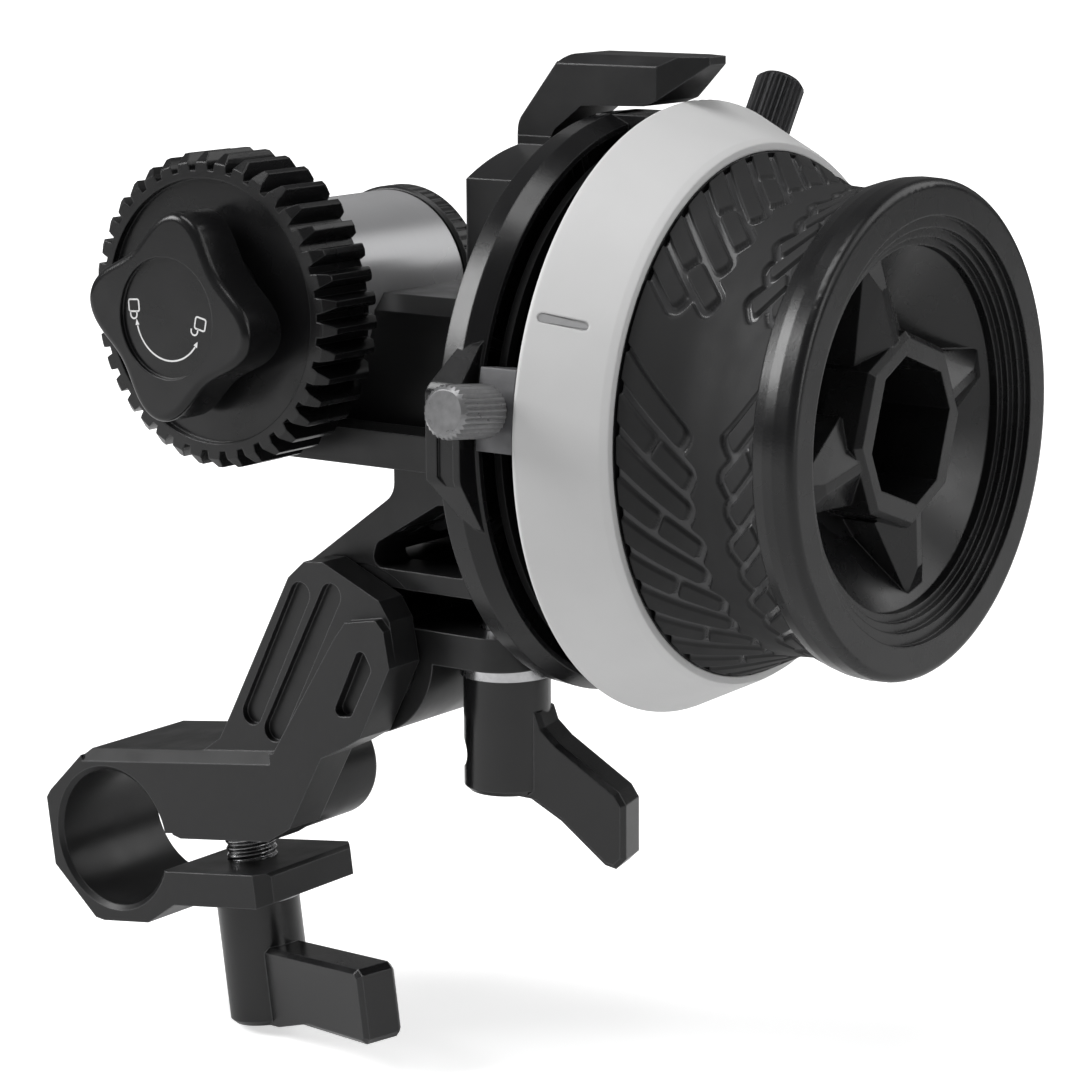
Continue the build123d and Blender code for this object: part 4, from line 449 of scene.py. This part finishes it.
NODES_OF = {
    "lever": ("rod_clamp_lever", "pivot_clamp_lever"),
    "plastic": ("gear_lock_knob", "drive_gear", "back_plate", "pivot_friction_washer"),
    # the stop ring and its screws take the black that is painted darker as painted shade
    "dark": ("stop_ring", "stop_ring_screws"),
    "wheel": ("handwheel",),
    "rubber": ("handwheel_grip", "disc_seat_ring"),
    "white": ("marking_disc",),
    "barrel": ("barrel_tube",),
    "pin": ("pivot_shaft", "output_shaft", "layshaft"),
    "shaft": ("wheel_shaft",),
    "steel": ("rod_clamp_washer", "pivot_clamp_washer", "rod_clamp_stud", "pivot_clamp_stud",
              "rod_clamp_spring", "pivot_clamp_spring", "barrel_bearings", "wheel_bearings",
              "layshaft_bearing", "output_circlip", "stop_bolt_a", "stop_bolt_b"),
    "thumb": ("stop_thumb_nut_a",),
    "black_steel": ("stop_thumb_nut_b",),
    "grey_block": ("stop_block_a",),
    "brass": ("output_spur", "layshaft_spur", "layshaft_bevel", "wheel_bevel"),
}
FINISH_OF = {node: finish for finish, nodes in NODES_OF.items() for node in nodes}


def finish_of(node):
    """A listed node's finish; other screws are black steel, and the rest is anodised."""
    if node in FINISH_OF:
        return FINISH_OF[node]
    return "black_steel" if "screw" in node else "anodised"


def paint_nodes(paints):
    for name, piece in frame["nodes"].items():
        piece.data.materials.clear()
        piece.data.materials.append(paints[finish_of(name)])


# ---------------------------------------------------------------- grip tread
# The tread is two mirrored rows of leaning blocks. A place on it has a turn in degrees about the wheel's axis
# and a reach in mm from the mirror line. Its lean turn is the turn at which a line along the lean through it
# crosses the mirror line, so it is the same all along a groove.
BLOCKS = 39                  # a bare patch lies between the last and the first
TREAD_START = 160.2          # turn where the first groove leaves the rim by the disc
TREAD_PITCH = 8.82           # degrees from one groove to the next
TREAD_MIDDLE = 77.75         # mm along X, the mirror line
RIM_REACH = 7.15             # reach of the rim by the disc
LEAN = 2.65                  # degrees of turn per mm along the axis
DEGREE_LENGTH = 0.41         # mm of surface per degree of turn
GROOVE_WIDTH = 0.95
GROOVE_DEPTH = 0.5
CROSS_WIDTH = 0.62           # of the cross groove that divides every second block
CROSS_AT = 4.75              # its reach at the block's corner
WALL_RAMP = 0.2              # mm over which a groove's wall falls
TOP_SLOPE = 0.53             # how far a block's end falls per mm of turn
LONG_TOP = 1.8               # reach of a divided block's end
SHORT_TOP = 2.15             # of a whole block's end
LAST_TOP = 4.55              # of the last block's end
CORNER = 0.45                # radius of a whole block's corners, twice that of a divided one's
CLOSING_TOP = 1.25           # reach of the groove floor between the last block and the bare patch
CLOSING_TURN = 17.6          # degrees back from the last groove, where it has that reach
CLOSING_SLOPE = 0.70
CLOSING_CORNER = 1.0
TREAD_COLUMNS_PER_PITCH = 22
TREAD_ROW = 0.14             # mm between rows
SMOOTHED_ROWS = 19           # an odd number, over which the profile is averaged
RIM_BAND = 1.2               # mm at each rim where it isn't
SAME_PLACE = 2e-6            # m along X within which two points are on one step of a profile
PLACE_DIGITS = 6             # decimals of a step's place in metres

FIRST_GROOVE = TREAD_START + LEAN * RIM_REACH   # its lean turn
ACROSS = DEGREE_LENGTH * math.sin(math.atan2(1.0, LEAN * DEGREE_LENGTH))   # mm across the grooves per degree


def node_profile(node, axis_at):
    """Places along X, the outside's radius at each, and the bore's radius, of a node turned about an axis."""
    points = np.array([vertex.co for vertex in frame["nodes"][node].data.vertices])
    xs = points[:, 0]
    radii = np.hypot(points[:, 1] - axis_at.y, points[:, 2] - axis_at.z)
    steps = sorted(set(np.round(xs, PLACE_DIGITS)))
    outer = [radii[np.abs(xs - x) < SAME_PLACE].max() for x in steps]
    return np.array(steps), np.array(outer), radii.min()


def crown_radii(xs, steps, outer):
    """Radii of the grip's outside at xs: the CAD's facets smoothed, and its two rims as they are."""
    radii = np.interp(xs, steps, outer)
    padded = np.pad(radii, SMOOTHED_ROWS // 2, mode="edge")
    smooth = np.convolve(padded, np.ones(SMOOTHED_ROWS) / SMOOTHED_ROWS, mode="valid")
    crown = (xs > steps[0] + RIM_BAND * MM) & (xs < steps[-1] - RIM_BAND * MM)
    return np.minimum(np.where(crown, smooth, radii), outer.max())


def smooth_step(value):
    t = np.clip(value, 0.0, 1.0)
    return t * t * (3 - 2 * t)


def rounded_overlap(sides, radius):
    """Signed distance to the rounded shape inside all the half planes, given as distances outside each."""
    grown = [side + radius for side in sides]
    outside = np.sqrt(sum(np.maximum(side, 0.0) ** 2 for side in grown))
    return np.minimum(np.max(grown, axis=0), 0.0) + outside - radius


def before_line(turn, reach, line_turn, line_reach, slope):
    """mm from a sloping line toward the mirror line; the line has line_reach at line_turn."""
    return (line_reach + slope * DEGREE_LENGTH * (turn - line_turn) - reach) / math.hypot(1.0, slope)


def block_distance(number, lean_turn, turn, reach):
    """mm outside one of the tread's blocks; every second block is divided by a cross groove."""
    start = FIRST_GROOVE + number * TREAD_PITCH
    left = (start - lean_turn) * ACROSS + GROOVE_WIDTH / 2
    right = (lean_turn - start - TREAD_PITCH) * ACROSS + GROOVE_WIDTH / 2
    corner_turn = start + GROOVE_WIDTH / 2 / ACROSS
    divided = number % 2 == 1
    top = LAST_TOP if number == BLOCKS - 1 else LONG_TOP if divided else SHORT_TOP
    end = before_line(turn, reach, corner_turn - LEAN * top, top, TOP_SLOPE)
    if not divided:
        return rounded_overlap([left, right, end], CORNER)
    cross = before_line(turn, reach, corner_turn - LEAN * CROSS_AT, CROSS_AT, TOP_SLOPE)
    inner = rounded_overlap([left, right, end, CROSS_WIDTH / 2 - cross], CORNER / 2)
    outer = rounded_overlap([left, right, cross + CROSS_WIDTH / 2], CORNER / 2)
    return np.minimum(inner, outer)


def tread_depth(lean_turn, reach):
    """Share of the groove's depth, 0 on a block or the bare middle and 1 on a groove's floor."""
    turn = lean_turn - LEAN * reach
    blocks = np.minimum.reduce([block_distance(k, lean_turn, turn, reach) for k in range(BLOCKS)])
    last = FIRST_GROOVE + (BLOCKS - 1) * TREAD_PITCH
    closing = rounded_overlap([(last - lean_turn) * ACROSS,
                               (lean_turn - last - TREAD_PITCH) * ACROSS - GROOVE_WIDTH / 2,
                               before_line(turn, reach, last - CLOSING_TURN, CLOSING_TOP, CLOSING_SLOPE)],
                              CLOSING_CORNER)
    floor = np.minimum(blocks - GROOVE_WIDTH, closing)
    return smooth_step(blocks / WALL_RAMP) * smooth_step(-floor / WALL_RAMP)


def add_grip(paints):
    """The rubber grip with its tread, a closed skin of rows along the axis and columns around it."""
    steps, outer, bore_radius = node_profile("handwheel_grip", WHEEL_AT)
    rows = int((steps[-1] - steps[0]) / MM / TREAD_ROW) + 1
    columns = int(round(360.0 / TREAD_PITCH * TREAD_COLUMNS_PER_PITCH))
    xs = np.linspace(steps[0], steps[-1], rows)
    lean_turn, reach = np.meshgrid(FIRST_GROOVE + np.arange(columns) * 360.0 / columns,
                                   np.abs(xs / MM - TREAD_MIDDLE))
    depth = tread_depth(lean_turn, reach)
    angle = np.radians(lean_turn - LEAN * reach)
    radius = crown_radii(xs, steps, outer)[:, None] - depth * GROOVE_DEPTH * MM
    # Two more rows along the bore close the skin.
    xs = np.append(xs, [xs[-1], xs[0]])
    radius = np.concatenate([radius, np.full((BORE_ROWS, columns), bore_radius)])
    angle = np.concatenate([angle, angle[-1:], angle[:1]])
    depth = np.concatenate([depth, np.zeros((BORE_ROWS, columns))])
    points = np.stack([np.repeat(xs[:, None], columns, axis=1),
                       WHEEL_AT.y + radius * np.cos(angle),
                       WHEEL_AT.z + radius * np.sin(angle)], axis=2).reshape(-1, 3)
    faces = closed_skin(rows + BORE_ROWS, columns)
    grip = new_piece("handwheel_grip_tread", points, faces, paints["rubber"])
    attribute = grip.data.attributes.new("groove", "FLOAT", "POINT")
    attribute.data.foreach_set("value", depth.reshape(-1).astype(np.float32))
    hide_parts("handwheel_grip")
    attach(grip, "wheel")


# ---------------------------------------------------------------- lock signs on the knob
# Lengths are in mm along X and Z from the knob's axis, and angles in degrees.
LINE = 0.17                  # width of a printed line
PRINT_T = 0.02               # thickness of the print
PRINT_LIFT = 0.004           # how far it stands off the knob's middle disc
DISC_SUNK = 0.5              # how far that disc lies behind the knob's front
LINE_CORNERS = ((1, 0), (1, 1), (-1, 1), (-1, 0))   # side and level of a printed line's four corners
JOINED = 1e-9
ARC_R = 4.3                  # of the arrow between the two locks
ARC_FROM, ARC_TO = -166.0, -38.0
ARC_STEPS = 40
ARROW = 0.62                 # length of an arrow head
ARROW_HALF = 0.42            # its half width, as a share of its length
ARROW_BEYOND = 9.0           # from the arc's end to the arrow's tip
ARROW_HEADING = 86.0         # from the radius at its tip
LOCK_W, LOCK_H = 1.35, 1.2
LOCK_CORNER = 0.22
LOCK_CORNER_STEPS = 4
SHACKLE_R = 0.42
SHACKLE_DROP = 0.3           # from the box to the bow's centre
SHACKLE_STEPS = 10
CLOSED_LOCK = dict(centre=(-4.6, 0.95), turn=4.0, shift=-0.1, gap=0.0)
OPEN_LOCK = dict(centre=(4.15, -0.3), turn=-12.0, shift=-0.62, gap=0.16)


def turned_about(points, pivot, degrees):
    c, s = math.cos(math.radians(degrees)), math.sin(math.radians(degrees))
    moved = []
    for x, z in points:
        dx, dz = x - pivot[0], z - pivot[1]
        moved.append((pivot[0] + c * dx - s * dz, pivot[1] + s * dx + c * dz))
    return moved


def lock_body(centre):
    """A rounded box outline, as a closed line."""
    x, z = LOCK_W / 2 - LOCK_CORNER, LOCK_H / 2 - LOCK_CORNER
    points = []
    for side, rise, start in ((1, 1, 0), (-1, 1, 90), (-1, -1, 180), (1, -1, 270)):
        corner_at = (centre[0] + side * x, centre[1] + rise * z)
        points += arc_points(corner_at, LOCK_CORNER, start, start + 90, LOCK_CORNER_STEPS)
    return points + points[:1]


def shackle(centre, shift, gap):
    """The bow below the box: its far end reaches the box, and its near end stops short of it by gap."""
    box_edge = centre[1] - LOCK_H / 2
    bow = arc_points((centre[0] + shift, box_edge - SHACKLE_DROP), SHACKLE_R, 180, 360, SHACKLE_STEPS)
    return [(bow[0][0], box_edge - gap)] + bow + [(bow[-1][0], box_edge)]


def lock_sign(centre, turn, shift, gap):
    """The two lines of a lock, turned about its box's centre."""
    return [turned_about(line, centre, turn) for line in (lock_body(centre), shackle(centre, shift, gap))]


def arrow_head(tip, heading):
    """A filled triangle as a closed outline."""
    back = [(tip[0] - ARROW, tip[1] + side * ARROW * ARROW_HALF) for side in (1, -1)]
    return turned_about([tip] + back, tip, heading)


def add_strip(line, width, points, faces, place):
    """Adds a flat ribbon along a line of (x, z) points; place gives (x, z, level) its position."""
    normals = []
    count = len(line)
    closed = math.dist(line[0], line[-1]) < JOINED
    for i in range(count):
        before = line[i - 1] if i else (line[-2] if closed else line[0])
        after = line[i + 1] if i < count - 1 else (line[1] if closed else line[-1])
        dx, dz = after[0] - before[0], after[1] - before[1]
        length = math.hypot(dx, dz)
        normals.append((-dz / length, dx / length))
    base, corners = len(points), len(LINE_CORNERS)
    for (x, z), (nx, nz) in zip(line, normals):
        for side, level in LINE_CORNERS:
            points.append(place(x + side * nx * width / 2, z + side * nz * width / 2, level))
    for i in range(count - 1):
        here, beyond = base + corners * i, base + corners * (i + 1)
        for k in range(corners):
            after = (k + 1) % corners
            faces.append((here + k, here + after, beyond + after, beyond + k))
    if not closed:
        faces.append((base, base + 3, base + 2, base + 1))
        end = base + corners * (count - 1)
        faces.append((end, end + 1, end + 2, end + 3))


def add_plate(outline, points, faces, place):
    """Adds a thin plate with a closed outline of (x, z) points; place gives (x, z, level) its position."""
    base, count = len(points), len(outline)
    for level in (0, 1):
        points.extend(place(x, z, level) for x, z in outline)
    faces.append(tuple(range(base, base + count)))
    faces.append(tuple(range(base + 2 * count - 1, base + count - 1, -1)))
    for i in range(count):
        j = (i + 1) % count
        faces.append((base + i, base + count + i, base + count + j, base + j))


def add_knob_marks(paints):
    """The closed and the open lock, and the arrow between them, printed on the knob's middle disc."""
    disc_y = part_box("gear_lock_knob")[0].y + DISC_SUNK * MM

    def place(x, z, level):
        y = disc_y - (PRINT_LIFT + PRINT_T * level) * MM
        return (KNOB_AT.x + x * MM, y, KNOB_AT.z + z * MM)

    points, faces = [], []
    arc = arc_points((0, 0), ARC_R, ARC_FROM, ARC_TO, ARC_STEPS)
    for line in lock_sign(**CLOSED_LOCK) + lock_sign(**OPEN_LOCK) + [arc]:
        add_strip(line, LINE, points, faces, place)
    for end, way in ((ARC_FROM, -1), (ARC_TO, 1)):
        tip_turn = end + way * ARROW_BEYOND
        tip = (ARC_R * math.cos(math.radians(tip_turn)), ARC_R * math.sin(math.radians(tip_turn)))
        add_plate(arrow_head(tip, tip_turn + way * ARROW_HEADING), points, faces, place)
    marks = new_piece("lock_knob_marks", points, faces, paints["white_print"], smooth=False)
    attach(marks, "lock_knob")


# ---------------------------------------------------------------- index mark on the marking disc
INDEX_TURN = 156.0           # degrees from +Y toward +Z
INDEX_FROM, INDEX_TO = 1.5, 5.1   # mm along X from the disc's wide rim
INDEX_WIDTH = 0.84
INDEX_TAPER = 0.45           # share of the width that is gone at the far end
INDEX_SUNK = 0.08            # mm from the disc's face down to the inlay's top
INDEX_FLOOR = 0.16           # and to its underside
INDEX_END_STEPS = 10
DISC_FRONT_X = 60.9          # mm, the disc's wide rim, and its radius there
DISC_RIM_R = 31.0
CONE_FALL = 3.7 / 7.7        # how fast the disc's face narrows along X


def add_index_mark(paints):
    """The grey inlay that runs down the disc's cone."""
    turn = math.radians(INDEX_TURN)
    out = Vector((0, math.cos(turn), math.sin(turn)))
    side = Vector((0, -math.sin(turn), math.cos(turn)))
    outline = arc_points((INDEX_FROM, 0), INDEX_WIDTH / 2, 90, 270, INDEX_END_STEPS)
    outline += arc_points((INDEX_TO, 0), INDEX_WIDTH / 2, -90, 90, INDEX_END_STEPS)

    def place(x, across, level):
        depth = INDEX_SUNK if level else INDEX_FLOOR
        reach = (DISC_RIM_R - CONE_FALL * x - depth) * MM
        narrowing = 1.0 - INDEX_TAPER * max(x - INDEX_FROM, 0.0) / (INDEX_TO - INDEX_FROM)
        at = Vector(((DISC_FRONT_X + x) * MM, WHEEL_AT.y, WHEEL_AT.z))
        return at + out * reach + side * (across * narrowing * MM)

    points, faces = [], []
    add_plate(outline, points, faces, place)
    mark = new_piece("disc_index_mark", points, faces, paints["grey_print"], smooth=False)
    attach(mark, "disc")


# ---------------------------------------------------------------- thread on the rod clamp's stud
STUD_LOW = 4.48              # mm along the stud from its joint's anchor
STUD_TOP = 8.12              # just under the upper jaw
THREAD_PITCH = 0.8
THREAD_BORE = 2.22           # mm, radii of the skin inside the stud, of the thread's root and of its crest
THREAD_ROOT = 2.52
THREAD_CREST = 2.74
FLANK_GAIN, FLANK_CUT = 1.3, 0.1   # flatten the wave at the root and the crest
THREAD_ROWS, THREAD_COLUMNS = 66, 60


def thread_radius(level, share):
    """mm from the axis to the thread, at a level along it and a share of a whole turn."""
    wave = abs((level / THREAD_PITCH - share) % 1.0 - 0.5) * 2
    height = min(max(wave * FLANK_GAIN - FLANK_CUT, 0.0), 1.0)
    return THREAD_ROOT + (THREAD_CREST - THREAD_ROOT) * height


def add_stud_thread(paints):
    """The screw thread on the length of the rod clamp's stud that shows in the slit."""
    across = STUD_AXIS.cross(Vector((0, 1, 0))).normalized()
    over = STUD_AXIS.cross(across)
    step = (STUD_TOP - STUD_LOW) / (THREAD_ROWS - 1)
    levels = [STUD_LOW + step * row for row in range(THREAD_ROWS)]
    points = []
    for row, level in enumerate(levels + [STUD_TOP, STUD_LOW]):
        for column in range(THREAD_COLUMNS):
            share = column / THREAD_COLUMNS
            turn = 2 * math.pi * share
            radius = thread_radius(level, share) if row < THREAD_ROWS else THREAD_BORE
            reach = across * math.cos(turn) + over * math.sin(turn)
            points.append(STUD_AT + STUD_AXIS * (level * MM) + reach * (radius * MM))
    faces = closed_skin(THREAD_ROWS + BORE_ROWS, THREAD_COLUMNS)
    thread = new_piece("rod_clamp_stud_thread", points, faces, paints["steel"])
    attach(thread, "rod_stud")


# ---------------------------------------------------------------- run
bpy.context.scene.view_settings.view_transform = "Standard"
paints = make_paints()
paint_nodes(paints)
add_camera()
add_world()
add_floor(cad_low.z - FLOOR_GAP)
add_grip(paints)
add_knob_marks(paints)
add_index_mark(paints)
add_stud_thread(paints)
for name, settings in SOFTBOXES.items():
    add_softbox(name, (cad_low + cad_high) / 2, **settings)
